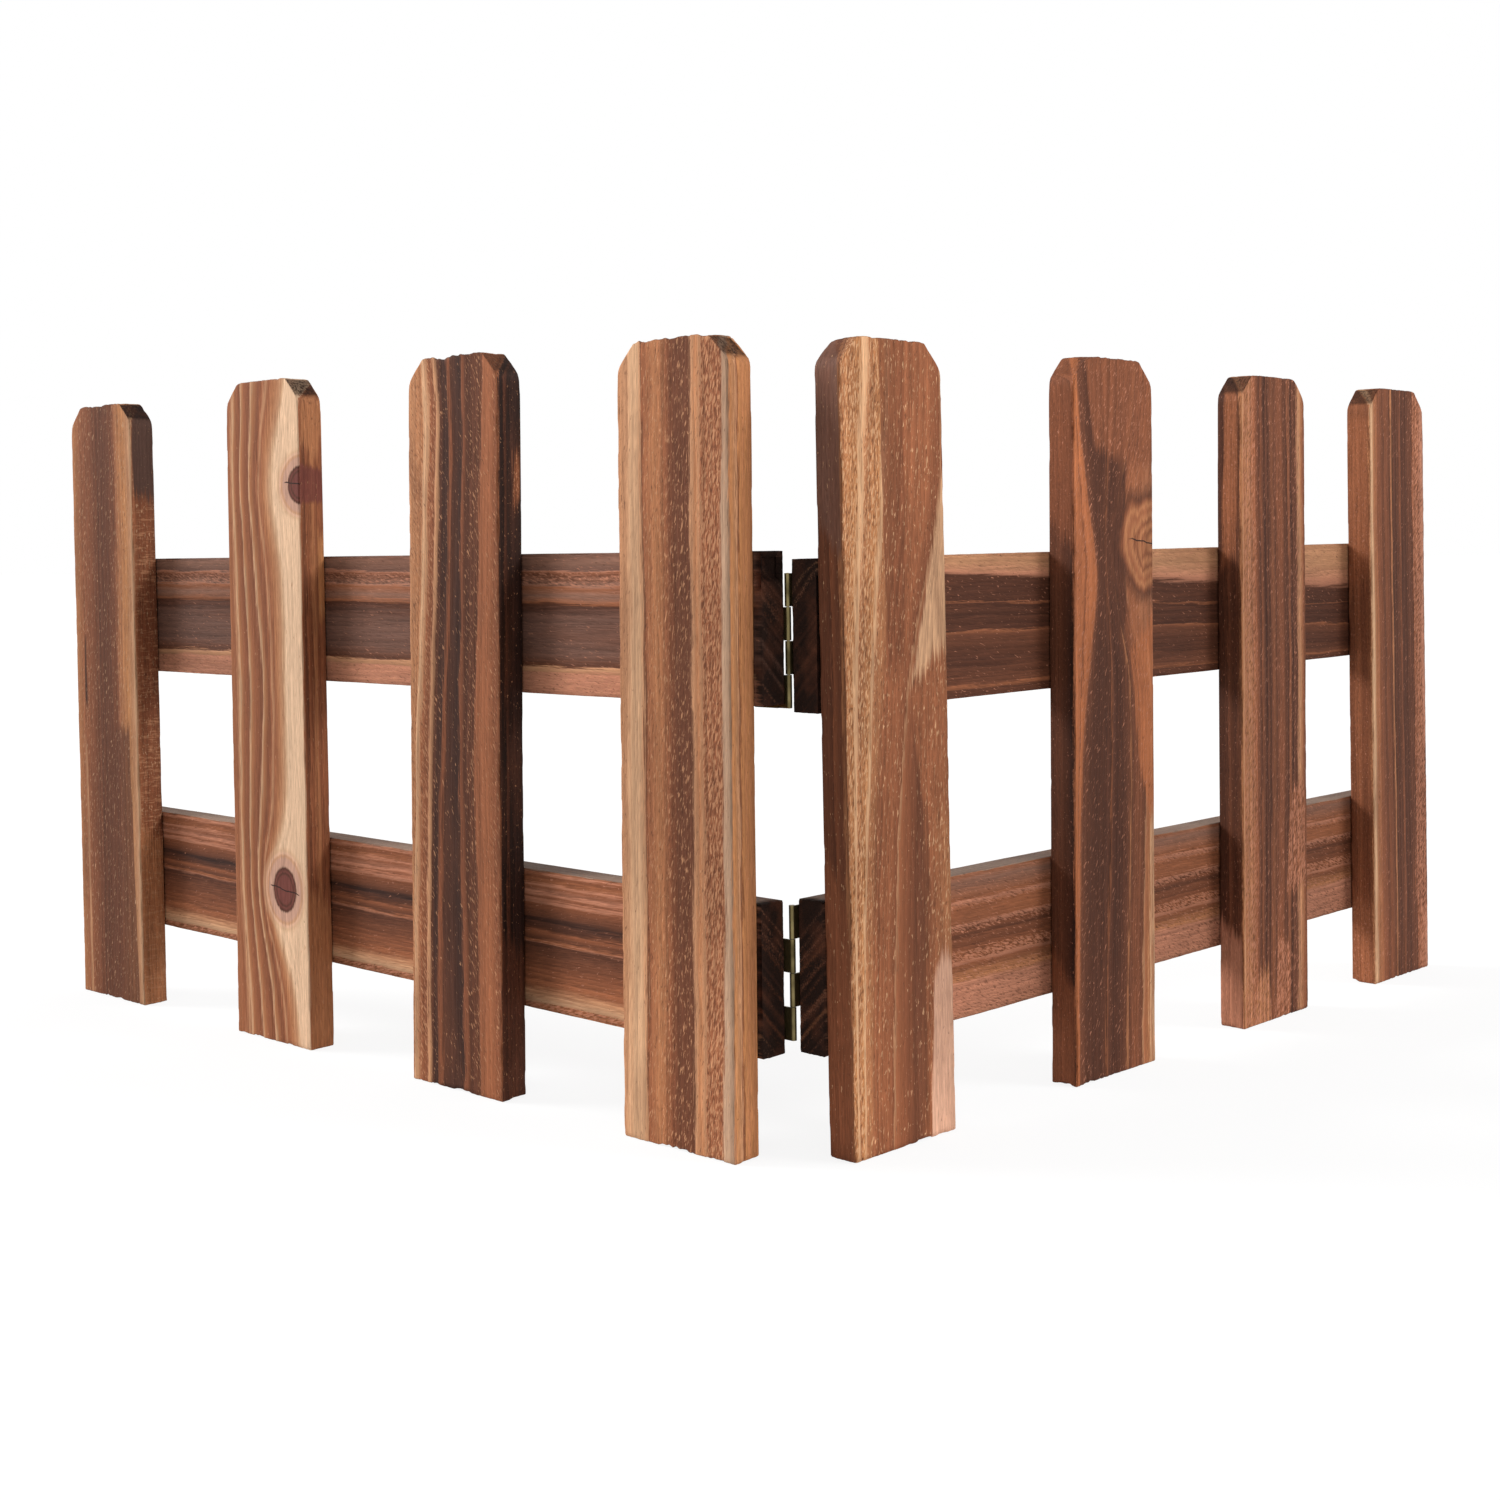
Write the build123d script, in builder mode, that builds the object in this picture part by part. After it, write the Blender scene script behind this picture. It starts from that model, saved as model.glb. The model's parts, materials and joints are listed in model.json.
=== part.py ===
from build123d import *
import os
from math import cos, radians, sin, tan

os.makedirs("parts", exist_ok=True)

# A small picket fence that stands by itself: two panels of burnt and brushed fir boards, joined at a
# corner by two butt hinges on the backs of the rails. The corner points to the front, along -Y, and the
# pickets are on the outside. Sizes are in millimetres and degrees.

# Panels
CORNER_ANGLE = 92.5  # inside, between the two panels as the fence stands
PANEL_LENGTH = 457.0
EDGE_ROUND = 0.8  # brushed arris of every board

# Pickets
PICKET_HEIGHT = 305.0
PICKET_WIDTH = 58.8
PICKET_THICKNESS = 13.3
EAR_RUN = 9.6  # the sawn-off top corners, across the picket
EAR_DROP = 9.7  # and down its edge

# Each picket as it was nailed on, from the hinge outwards: how far it sits beyond an even spacing, how
# many degrees it leans away from the hinge, and how much longer than the rest it was sawn
LEFT_PICKETS = ((1.3, -0.3, 0.8), (-2.0, -0.5, 4.0), (1.4, 0.7, 2.8), (12.1, 1.3, 0.0))
RIGHT_PICKETS = ((-1.3, -0.6, -1.0), (7.8, 0.8, 0.5), (7.6, 0.8, -0.5), (0.4, 0.4, -0.5))

# Rails: height of the lower edge at the hinge, how much higher it is at the far end, and how far from
# the pin's axis the rail was sawn off
RAIL_WIDTH = 57.7
RAIL_THICKNESS = 12.7
LEFT_RAILS = {"upper": (167.3, 0.4, 0.8), "lower": (36.4, 2.4, 3.0)}
RIGHT_RAILS = {"upper": (164.2, 3.2, 0.8), "lower": (37.0, 0.3, 2.0)}

# Butt hinges
HINGE_LENGTH = 50.8
HINGE_SETBACK = 3.2  # from the pin's axis to where the even spacing of the pickets starts
HINGE_ABOVE_RAIL_MIDDLE = {"upper": -3.4, "lower": 1.4}
KNUCKLE_COUNT = 4
KNUCKLE_GAP = 0.25
FIRST_KNUCKLE = {"left": 0, "right": 1}  # counted from the lower end
LEAF_WIDTH = 17.0  # from the pin's axis to the leaf's outer edge
LEAF_THICKNESS = 0.55
NOTCH_DEPTH = 4.6  # from the pin's axis to the plate beside the other leaf's knuckles
LEAF_CORNER = 1.2
PIN_DIAMETER = 1.2
PIN_CLEARANCE = 0.05
PIN_END_ROUND = 0.3
SCREW_HOLE = 3.0
SCREW_SINK = 3.8  # diameter of the countersink at the leaf's face
SCREW_SINK_ANGLE = 82
SCREW_FROM_PIN = 11.0
SCREW_COUNT = 2  # in each leaf
SCREW_SPACING = 31.0

# The barrel is the leaf rolled round the pin, and the rails' backs touch its front
BORE_RADIUS = PIN_DIAMETER / 2 + PIN_CLEARANCE
BARREL_RADIUS = BORE_RADIUS + LEAF_THICKNESS
PICKET_BACK = BARREL_RADIUS + RAIL_THICKNESS
PICKET_FRONT = PICKET_BACK + PICKET_THICKNESS
KNUCKLE_PITCH = HINGE_LENGTH / KNUCKLE_COUNT
PANEL_TURN = radians(90 - CORNER_ANGLE / 2)  # from the X axis to a panel


def picket_centre(order, shift, lean, height):
    """Distance from the pin's axis to a picket's middle line at a height; it leans about half height."""
    pitch = (PANEL_LENGTH - PICKET_WIDTH) / (len(LEFT_PICKETS) - 1)
    even_place = HINGE_SETBACK + PICKET_WIDTH / 2 + order * pitch
    return even_place + shift + (height - PICKET_HEIGHT / 2) * tan(radians(lean))


def panel_reach(pickets):
    """Distance from the pin's axis to the far edge of a panel's last picket, at its widest height."""
    order = len(pickets) - 1
    shift, lean, longer = pickets[order]
    shoulder = PICKET_HEIGHT + longer - EAR_DROP
    middle = max(picket_centre(order, shift, lean, height) for height in (0, shoulder))
    return middle + PICKET_WIDTH / 2


def panel_start(pickets):
    """Distance from the pin's axis to the near edge of a panel's first picket, at its closest height."""
    shift, lean, longer = pickets[0]
    shoulder = PICKET_HEIGHT + longer - EAR_DROP
    middle = min(picket_centre(0, shift, lean, height) for height in (0, shoulder))
    return middle - PICKET_WIDTH / 2


# The origin is on the floor under the middle of the fence's box, which places the pin
REACHES = (panel_reach(LEFT_PICKETS), panel_reach(RIGHT_PICKETS))
CORNER_FRONT = min(panel_start(LEFT_PICKETS), panel_start(RIGHT_PICKETS))
PIN_X = (REACHES[0] - REACHES[1]) / 2 * cos(PANEL_TURN)
FRONT_Y = CORNER_FRONT * sin(PANEL_TURN) - PICKET_FRONT * cos(PANEL_TURN)
BACK_Y = max(
    max(REACHES) * sin(PANEL_TURN) - PICKET_BACK * cos(PANEL_TURN),
    (HINGE_SETBACK + PANEL_LENGTH) * sin(PANEL_TURN) - BARREL_RADIUS * cos(PANEL_TURN),
)
PIN_Y = -(FRONT_Y + BACK_Y) / 2


def panel_plane(side):
    """A panel's plane through the pin's axis: X to the right as seen from outside, Y up, Z outwards."""
    across = (cos(PANEL_TURN), side * sin(PANEL_TURN), 0)
    outwards = (side * sin(PANEL_TURN), -cos(PANEL_TURN), 0)
    return Plane(origin=(PIN_X, PIN_Y, 0), x_dir=across, z_dir=outwards)


def hinge_bottom(level):
    """Height of a hinge's lower end, placed by the middle of the two rails that it joins."""
    rail_bottom = (LEFT_RAILS[level][0] + RIGHT_RAILS[level][0]) / 2
    return rail_bottom + RAIL_WIDTH / 2 + HINGE_ABOVE_RAIL_MIDDLE[level] - HINGE_LENGTH / 2


SIDES = {"left": -1, "right": 1}

# Pickets, numbered from the hinge outwards
for side_name, pickets in (("left", LEFT_PICKETS), ("right", RIGHT_PICKETS)):
    side = SIDES[side_name]
    for order, (shift, lean, longer) in enumerate(pickets):
        top = PICKET_HEIGHT + longer
        shoulder = top - EAR_DROP
        half = PICKET_WIDTH / 2
        foot_middle = side * picket_centre(order, shift, lean, 0)
        shoulder_middle = side * picket_centre(order, shift, lean, shoulder)
        top_middle = side * picket_centre(order, shift, lean, top)
        with BuildPart() as picket:
            with BuildSketch(panel_plane(side).offset(PICKET_BACK)):
                with BuildLine():
                    Polyline(
                        (foot_middle - half, 0),
                        (foot_middle + half, 0),
                        (shoulder_middle + half, shoulder),
                        (top_middle + half - EAR_RUN, top),
                        (top_middle - half + EAR_RUN, top),
                        (shoulder_middle - half, shoulder),
                        close=True,
                    )
                make_face()
            extrude(amount=PICKET_THICKNESS)
            long_edges = picket.edges().filter_by(lambda edge: edge.length > PICKET_HEIGHT / 2)
            fillet(long_edges, EDGE_ROUND)
        picket.part.label = f"{side_name}_picket_{order + 1}"
        export_step(picket.part, f"parts/{picket.part.label}.step")

# Rails, behind the pickets
for side_name, rails in (("left", LEFT_RAILS), ("right", RIGHT_RAILS)):
    side = SIDES[side_name]
    far = side * (HINGE_SETBACK + PANEL_LENGTH)
    for level, (bottom, rise, end_gap) in rails.items():
        near = side * end_gap
        with BuildPart() as rail:
            with BuildSketch(panel_plane(side).offset(BARREL_RADIUS)):
                with BuildLine():
                    Polyline(
                        (near, bottom),
                        (far, bottom + rise),
                        (far, bottom + rise + RAIL_WIDTH),
                        (near, bottom + RAIL_WIDTH),
                        close=True,
                    )
                make_face()
            extrude(amount=RAIL_THICKNESS)
            long_edges = rail.edges().filter_by(lambda edge: edge.length > PANEL_LENGTH / 2)
            fillet(long_edges, EDGE_ROUND)
        rail.part.label = f"{side_name}_{level}_rail"
        export_step(rail.part, f"parts/{rail.part.label}.step")

# Hinge leaves: a notched plate on the rails' backs, with every other knuckle rolled round the pin
for level in HINGE_ABOVE_RAIL_MIDDLE:
    bottom = hinge_bottom(level)
    for side_name, side in SIDES.items():
        panel = panel_plane(side)
        leaf_middle = (0, bottom + HINGE_LENGTH / 2, BARREL_RADIUS - LEAF_THICKNESS)
        leaf_face = Plane(
            origin=panel.from_local_coords(leaf_middle),
            x_dir=-panel.x_dir,
            z_dir=-panel.z_dir,
        )
        with BuildPart(leaf_face) as leaf:
            with BuildSketch(leaf_face) as plate:
                with Locations((-side * (NOTCH_DEPTH + LEAF_WIDTH) / 2, 0)):
                    Rectangle(LEAF_WIDTH - NOTCH_DEPTH, HINGE_LENGTH)
                outer_corners = plate.vertices().sort_by(lambda corner: abs(corner.X))[-2:]
                fillet(outer_corners, LEAF_CORNER)
            extrude(amount=-LEAF_THICKNESS)
            for place in range(FIRST_KNUCKLE[side_name], KNUCKLE_COUNT, 2):
                knuckle_bottom = bottom + place * KNUCKLE_PITCH + KNUCKLE_GAP / 2
                knuckle_end = Plane(
                    origin=panel.from_local_coords((0, knuckle_bottom, 0)),
                    x_dir=panel.x_dir,
                    z_dir=(0, 0, 1),
                )
                with BuildSketch(knuckle_end):
                    Circle(BARREL_RADIUS)
                    with Locations((side * NOTCH_DEPTH / 2, LEAF_THICKNESS / 2 - BARREL_RADIUS)):
                        Rectangle(NOTCH_DEPTH, LEAF_THICKNESS)
                    Circle(BORE_RADIUS, mode=Mode.SUBTRACT)
                extrude(amount=KNUCKLE_PITCH - KNUCKLE_GAP)
            with Locations((-side * SCREW_FROM_PIN, 0)):
                with GridLocations(0, SCREW_SPACING, 1, SCREW_COUNT):
                    CounterSinkHole(SCREW_HOLE / 2, SCREW_SINK / 2, counter_sink_angle=SCREW_SINK_ANGLE)
        leaf.part.label = f"{level}_hinge_{side_name}_leaf"
        export_step(leaf.part, f"parts/{leaf.part.label}.step")

    with BuildPart() as pin:
        with BuildSketch(Plane((PIN_X, PIN_Y, bottom))):
            Circle(PIN_DIAMETER / 2)
        extrude(amount=HINGE_LENGTH)
        fillet(pin.edges().filter_by(GeomType.CIRCLE), PIN_END_ROUND)
    pin.part.label = f"{level}_hinge_pin"
    export_step(pin.part, f"parts/{pin.part.label}.step")
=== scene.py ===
# %% [markdown]
# # A small folding picket fence of burnt and brushed fir
# Two panels of four pickets stand in a corner, held together by two butt hinges. The boards were scorched
# with a torch and then scrubbed with a wire brush, which takes the burnt soft wood away and leaves the hard
# growth lines standing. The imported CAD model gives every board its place. This lesson gives it its wood.

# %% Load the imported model
import json
import math
import bpy
import numpy as np
from mathutils import Matrix


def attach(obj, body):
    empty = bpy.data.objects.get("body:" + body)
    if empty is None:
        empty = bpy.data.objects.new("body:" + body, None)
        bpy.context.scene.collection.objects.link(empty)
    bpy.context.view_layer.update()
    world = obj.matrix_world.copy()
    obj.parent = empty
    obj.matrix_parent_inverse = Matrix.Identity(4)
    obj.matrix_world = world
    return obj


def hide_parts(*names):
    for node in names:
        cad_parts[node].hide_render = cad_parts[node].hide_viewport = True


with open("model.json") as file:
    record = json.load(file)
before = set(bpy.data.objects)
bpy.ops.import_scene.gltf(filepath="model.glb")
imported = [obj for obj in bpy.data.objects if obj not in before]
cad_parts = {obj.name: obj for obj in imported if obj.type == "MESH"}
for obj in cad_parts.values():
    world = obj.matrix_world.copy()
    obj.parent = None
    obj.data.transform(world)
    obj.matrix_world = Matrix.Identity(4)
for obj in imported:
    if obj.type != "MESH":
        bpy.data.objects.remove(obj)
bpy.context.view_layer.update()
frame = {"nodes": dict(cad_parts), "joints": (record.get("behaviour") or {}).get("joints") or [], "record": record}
MM = 0.001
fold = frame["joints"][0]
bodies = frame["record"]["behaviour"]["bodies"]

# %% [markdown]
# ## Where the boards are
# A board of the real fence is a flat stick, so three lengths describe a spot on it: across, into its
# thickness and along its grain. We could read these off a drawing, but the CAD boards are already loaded, so
# measuring them keeps both models the same size. Folding the fence flat takes up the whole corner, so the
# joint's upper limit also says how the panels stand.

# %% Panel directions, and CAD nodes in their panel's millimetres
PIN = np.array(fold["pos_m"])
TURN = math.pi / 2 - math.radians(fold["range_deg"][1]) / 2
SIDES = {"left": -1, "right": 1}
UP = np.array((0.0, 0.0, 1.0))


def panel_axes(side):
    """Two unit vectors of a panel: along it to the right, and out of its front."""
    across = np.array((math.cos(TURN), side * math.sin(TURN), 0.0))
    outwards = np.array((side * math.sin(TURN), -math.cos(TURN), 0.0))
    return across, outwards


def cad_points(node, side):
    """A node's vertices, from the pin's foot: along the panel, out of its front and up, in millimetres."""
    mesh = frame["nodes"][node].data
    flat = np.empty(len(mesh.vertices) * 3)
    mesh.vertices.foreach_get("co", flat)
    local = flat.reshape(-1, 3) - PIN
    across, outwards = panel_axes(side)
    return (np.column_stack((local @ across, local @ outwards, local @ UP)) / MM).T


def to_world(side, along_panel, out, up):
    """World positions in metres of points given in a panel's millimetres."""
    across, outwards = panel_axes(side)
    return PIN + MM * (np.outer(along_panel, across) + np.outer(out, outwards) + np.outer(up, UP))


print("panels turned by", round(math.degrees(TURN), 2), "degrees")

# %% Measure a picket and a rail
# Vertices nearer than CLOSE lie at one height. The edges are radii across, into the thickness and along.
CLOSE = 0.1
PICKET_EDGE, RAIL_EDGE = np.array((0.8, 0.8, 0.8)), np.array((0.8, 0.5, 0.2))


def measure_picket(node, side):
    """A picket's sizes, and where a spot (across, depth, along) on it is; it leans as its CAD board does."""
    s, o, z = cad_points(node, side)
    top = z.max()
    shoulder = z[z > top / 2].min()
    at_foot = s[z < CLOSE]
    at_shoulder = s[abs(z - shoulder) < CLOSE]
    at_top = s[z > top - CLOSE]
    lean = (at_shoulder.min() - at_foot.min()) / shoulder
    ear_run = at_top.min() - (at_foot.min() + lean * top)

    def place(a, d, l):
        return to_world(side, at_foot.min() + lean * l + a, o.max() - d, l)

    size = np.array((np.ptp(at_foot), np.ptp(o), top))
    return {"size": size, "ear": (ear_run, top - shoulder), "edge": PICKET_EDGE, "place": place}


def measure_rail(node, side):
    """A rail's sizes and places; across runs down from its upper edge, along runs left to right."""
    s, o, z = cad_points(node, side)
    left_top = z[s < s.min() + CLOSE].max()
    right_top = z[s > s.max() - CLOSE].max()
    width = left_top - z[s < s.min() + CLOSE].min()
    slope = (right_top - left_top) / np.ptp(s)

    def place(a, d, l):
        return to_world(side, s.min() + l, o.max() - d, left_top + slope * l - a)

    return {"size": np.array((width, np.ptp(o), np.ptp(s))), "ear": None, "edge": RAIL_EDGE, "place": place}


print("one picket", measure_picket("left_picket_1", -1)["size"].round(1))

# %% [markdown]
# ## The tones of scorched fir
# Fir has pale sapwood, brown heartwood and red knots, and a flame takes each of them through sienna and umber
# to char. A few named tones are enough for all the boards. The number beside each is how deep the brush went:
# soft burnt wood is scrubbed out by up to half a millimetre, while the hard pale lines stay at the surface.

# %% Named tones
TONES = {
    "char": ("#241712", 0.50), "soot": ("#33201a", 0.45), "umber": ("#4c2c1f", 0.40),
    "walnut": ("#623a28", 0.34), "chestnut": ("#7a4830", 0.28), "sienna": ("#8f573a", 0.22),
    "russet": ("#a8643f", 0.12), "honey": ("#a56d49", 0.15), "gold": ("#b3794d", 0.10),
    "salmon": ("#b0765c", 0.12), "tan": ("#b4825f", 0.06), "ash": ("#ac8a70", 0.05),
    "straw": ("#c09673", 0.0), "cream": ("#d9b493", 0.0), "knot": ("#6b3a32", 0.05),
    "halo": ("#bb917c", 0.05), "pink": ("#d2a58b", 0.0), "grey": ("#8a7566", 0.2),
    "dusk": ("#855f4e", 0.22), "dim": ("#68493d", 0.34), "wheat": ("#cc9e77", 0.0),
    "smoke": ("#4f3b34", 0.30),
}


def linear(hex_colour):
    """Linear RGBA of an sRGB hex colour."""
    srgb = np.array([int(hex_colour[i:i + 2], 16) for i in (1, 3, 5)]) / 255
    low, high = srgb / 12.92, ((srgb + 0.055) / 1.055) ** 2.4
    return (*np.where(srgb <= 0.04045, low, high).tolist(), 1.0)


def tone(name):
    """Linear RGBA of a named tone."""
    return linear(TONES[name][0])


print(len(TONES), "tones, straw is", [round(v, 3) for v in tone("straw")])

# %% [markdown]
# ## What each board looks like
# No two boards are alike, so each gets its own list. The growth lines run along a board as bands, and a list
# names them across it: the place in millimetres, the tone there and how fuzzy the brush left the wood. The
# rings also run through the thickness, so places beyond the front's edges show on the side faces. Some lines
# wander, so a few of them are given places at several heights, and the bands between them stretch to follow.
# The lists are for a board 57 by 12.7 mm, and are stretched to each board's own width and thickness.
#
# A list may say more. Patches are convex outlines of (across, along) corners that take one tone. Knots are
# given by their heart and half sizes, and have rings of their own and a crack. Slope is the way the rings
# run through the thickness, and lean is how the torn fibres lie, in degrees. Fleck is the tone of those
# fibres. The lightness list says how light the board is along its length, and on the rails it is painted
# shade beside the pickets. Streak, toast, crumble, ear_burn, side_burn, sawn, chips and notches say how
# strong or how large each trace of its making is.

# %% Pickets of the left panel
LIST_SIZE = (57.0, 12.7)
LOOKS = {}
LOOKS["left_picket_1"] = {
    "bands": [
        (-4, "honey", .5), (4.6, "tan", .5), (5.2, "tan", .2), (8, "straw", .1), (11, "straw", .1),
        (12.5, "tan", .1), (12.9, "umber", .3), (13.4, "sienna", .45), (20, "honey", .5),
        (26.5, "chestnut", .55), (30, "walnut", .45), (34, "walnut", .55), (37, "walnut", .45),
        (38.6, "tan", .5), (40.5, "honey", .4), (42.3, "tan", .45), (43.2, "sienna", .85),
        (48, "sienna", .9), (52.5, "sienna", .85), (53.4, "ash", .2), (56.6, "ash", .1),
        (57.4, "honey", .1), (58, "gold", .1), (61, "tan", .1), (61.7, "chestnut", .05),
        (62.6, "gold", .05), (65, "honey", .1), (66, "gold", .1), (67, "honey", .05), (71, "gold", .1),
    ],
    "lines": [
        (5.2, [(300, 5.2), (150, 4), (0, 1.5)]), (13, [(300, 13), (150, 13.5), (0, 14)]),
        (26, [(300, 26), (0, 25)]), (38.6, [(300, 38.6), (0, 38)]), (43, [(300, 43), (0, 43.6)]),
        (53.6, [(300, 54), (0, 52)]),
    ],
    "slope": 1.0, "fleck": "tan", "lean": 10, "ear_burn": .8, "toast": .25, "crumble": 3.0,
}
LOOKS["left_picket_2"] = {
    "bands": [
        (-8, "tan", .5), (10, "honey", .7), (11.6, "straw", .3), (14.4, "tan", .3), (15.2, "sienna", .7),
        (18.4, "chestnut", .6), (19, "tan", .3), (20.6, "tan", .3), (21.4, "umber", .4),
        (26.4, "soot", .3), (27.4, "chestnut", .1), (28.6, "chestnut", .1), (29.4, "umber", .15),
        (34.8, "soot", .2), (35.8, "chestnut", .1), (37.4, "walnut", .3), (38.4, "umber", .4),
        (45, "walnut", .5), (46.4, "sienna", .2), (53, "sienna", .3), (54.6, "chestnut", .6),
        (57, "sienna", .3), (57.6, "soot", .1), (59.5, "char", .05), (61.2, "umber", .1),
        (62.4, "char", .05), (65, "soot", .1), (72, "char", .1),
    ],
    "lines": [
        (13, [(309, 9.5), (289, 13), (240, 11), (200, 9.3), (175, 6.7), (150, 4.5), (75, 2.2), (0, 1.6)]),
        (19.8, [(309, 16), (289, 20), (200, 16.5), (136, 13), (75, 11.7), (0, 11)]),
        (28, [(309, 25), (274, 28), (200, 25.5), (136, 20), (75, 17.5), (0, 17)]),
        (36.5, [(309, 35), (274, 36.5), (200, 34.5), (136, 33), (75, 35), (0, 36)]),
        (46, [(309, 49), (274, 47), (200, 45), (136, 41), (75, 43.5), (0, 44)]),
    ],
    "slope": 1.0, "fleck": "tan", "lean": -28, "ear_burn": .7,
    "patches": [
        ("sienna", .6, [(65, 266), (68.5, 266), (68.5, 246), (65, 246)]),
        ("umber", .1, [(57.6, -9), (74, -9), (74, 55), (57.6, 70)]),
    ],
    "streak": .24,
}
LOOKS["left_picket_3"] = {
    "bands": [
        (-6, "honey", .1), (3.4, "sienna", .1), (5.6, "tan", 0), (6.4, "straw", 0), (7.4, "honey", .1),
        (9.4, "sienna", .1), (12.8, "chestnut", .1), (13.8, "straw", 0), (15, "honey", .05),
        (17, "sienna", .1), (21.6, "chestnut", .1), (22.8, "straw", 0), (24, "honey", .05),
        (26, "chestnut", .1), (28.6, "sienna", .1), (29.6, "tan", 0), (31, "sienna", .1),
        (34, "honey", .05), (36.6, "tan", .05), (38.4, "straw", 0), (41, "cream", 0), (56.4, "cream", 0),
        (57.4, "sienna", .1), (59.2, "walnut", .15), (60.6, "sienna", .1), (61.6, "chestnut", .1),
        (64.2, "honey", .1), (65.2, "chestnut", .1), (67.5, "sienna", .1), (72, "walnut", .1),
    ],
    "lines": [
        (6.2, [(305, 6.3), (260, 4.5), (211, 6.8), (169, 8), (128, 6.2), (85, 6.5), (55, 7.5), (31, 10.5),
              (0, 12)]),
        (14.2, [(305, 13), (260, 11), (211, 13.5), (169, 16.5), (128, 14.5), (85, 12.5), (60, 14),
              (31, 19), (0, 22)]),
        (23, [(305, 21), (258, 17.5), (211, 22), (169, 27), (128, 24), (85, 19), (60, 19.5), (31, 28),
              (0, 32)]),
        (38, [(309, 47), (296, 44), (280, 36), (258, 32), (240, 35), (222, 41), (195, 42), (169, 41),
              (128, 42), (105, 42), (90, 32), (75, 25), (55, 30), (31, 45), (0, 49)]),
    ],
    "slope": 1.0, "fleck": "tan", "lean": 5, "ear_burn": .85, "streak": .1, "crack": 1.3, "toast": .05,
    "lightness_and_painted_shade": [(0, 1.08), (60, 1.0), (95, .92), (205, .92), (240, .97), (305, 1.0)],
    "patches": [
        ("honey", .1, [(57.6, -9), (74, -9), (74, 60), (57.6, 75)]),
        ("honey", .2, [(58.4, 276), (66, 270), (70, 280), (70, 300), (58.4, 300)]),
        ("knot", .1, [(57, 249), (74, 251), (74, 264), (57, 268)]),
        ("gold", .1, [(66, 196), (72, 196), (72, 232), (66, 236)]),
    ],
    "knots": [(39.6, 71.5, 8.8, 10.5), (58.0, 258.0, 10.0, 9.0)],
    "knot_rings": [
        (0, "walnut", 1), (.1, "knot", 1), (.62, "knot", 1), (.72, "umber", 1), (.8, "knot", 1),
        (.95, "umber", 1), (1.04, "halo", 1), (1.35, "halo", 1), (1.5, "tan", .8), (1.6, "pink", .8),
        (1.75, "straw", .5), (2.0, "cream", 0),
    ],
}
LOOKS["left_picket_4"] = {
    "bands": [
        (-6, "honey", .2), (3, "honey", .35), (8, "sienna", .45), (17, "chestnut", .35),
        (24, "walnut", .3), (33, "walnut", .3), (39, "chestnut", .4), (43, "honey", .4), (49, "gold", .4),
        (54, "tan", .3), (56.8, "straw", .2), (57.6, "sienna", .3), (61, "chestnut", .3),
        (67, "chestnut", .3), (72, "walnut", .3),
    ],
    "lines": [
        (12, [(300, 12), (0, 10)]), (40, [(300, 41), (150, 40), (0, 37)]),
    ],
    "slope": 1.0, "fleck": "straw", "lean": 16, "ear_burn": .95, "sawn": 1.0,
    "lightness_and_painted_shade": [(0, .95), (60, .88), (200, .85), (305, .95)],
    "patches": [
        ("tan", .1, [(6.8, -9), (9.4, -9), (8.4, 130), (6.6, 130)]),
        ("soot", .1, [(7.4, 148), (10, 148), (9.6, 184), (8.2, 184)]),
        ("smoke", 0, [(57.6, 258), (74, 252), (74, 318), (57.6, 318)]),
        ("honey", .2, [(57.6, -9), (74, -9), (74, 80), (57.6, 90)]),
        ("walnut", .3, [(20, -9), (53, -9), (49, 140), (28, 140)]),
    ],
    "side_burn": [(215, 0), (240, .2), (258, .4), (310, .4)], "sawn_below": 258,
}
print("left pickets:", len(LOOKS))

# %% Pickets of the right panel
LOOKS["right_picket_1"] = {
    "bands": [
        (-16, "walnut", .05), (-8, "walnut", .05), (-7, "umber", .05), (-6, "chestnut", .05),
        (-4, "walnut", .1), (-2.4, "walnut", .05), (-1.4, "honey", .05), (-0.7, "umber", .05),
        (0, "honey", .7), (4.4, "gold", .8), (5.2, "wheat", .1), (6.6, "wheat", .1), (7.4, "honey", .75),
        (12.6, "gold", .75), (13.4, "wheat", .1), (14.2, "wheat", .1), (15, "honey", .6),
        (18, "honey", .5), (22, "sienna", .4), (28, "sienna", .35), (32, "sienna", .35),
        (36.6, "chestnut", .35), (37.4, "tan", .2), (38.2, "sienna", .1), (41, "chestnut", .15),
        (46, "walnut", .2), (50, "sienna", .5), (57, "honey", .5),
    ],
    "lines": [
        (6, [(300, 14), (248, 10.5), (207, 7.5), (160, 5), (100, 3), (0, 2)]),
        (14, [(300, 26.5), (248, 22.5), (207, 17.5), (156, 13), (94, 8), (0, 5.5)]),
        (37.6, [(304, 56.6), (260, 56), (239, 54.5), (227, 50), (207, 43), (176, 34.6), (149, 31),
              (115, 27.4), (74, 24.5), (33, 22.6), (0, 21.5)]),
    ],
    "slope": -1.0, "fleck": "wheat", "lean": 8, "ear_burn": .4,
    "lightness_and_painted_shade": [(0, 1.32), (40, 1.12), (70, .98), (95, .95), (205, .95), (245, 1.08), (305, 1.15)],
    "patches": [
        ("chestnut", .35, [(21, 318), (36, 318), (33, 180), (23, 180)]),
        ("sienna", .4, [(60, 258), (36, 168), (40, 130), (60, 118)]),
        ("straw", .1, [(60, 266), (36, 174), (60, 190)]),
        ("pink", .05, [(42, -9), (60, -9), (60, 62), (51.5, 72), (45.6, 58)]),
        ("chestnut", .1, [(-13, -9), (-1, -9), (-1, 90), (-13, 120)]),
        ("dim", .05, [(-13, 318), (-1, 318), (-1, 222), (-13, 236)]),
    ],
}
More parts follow.
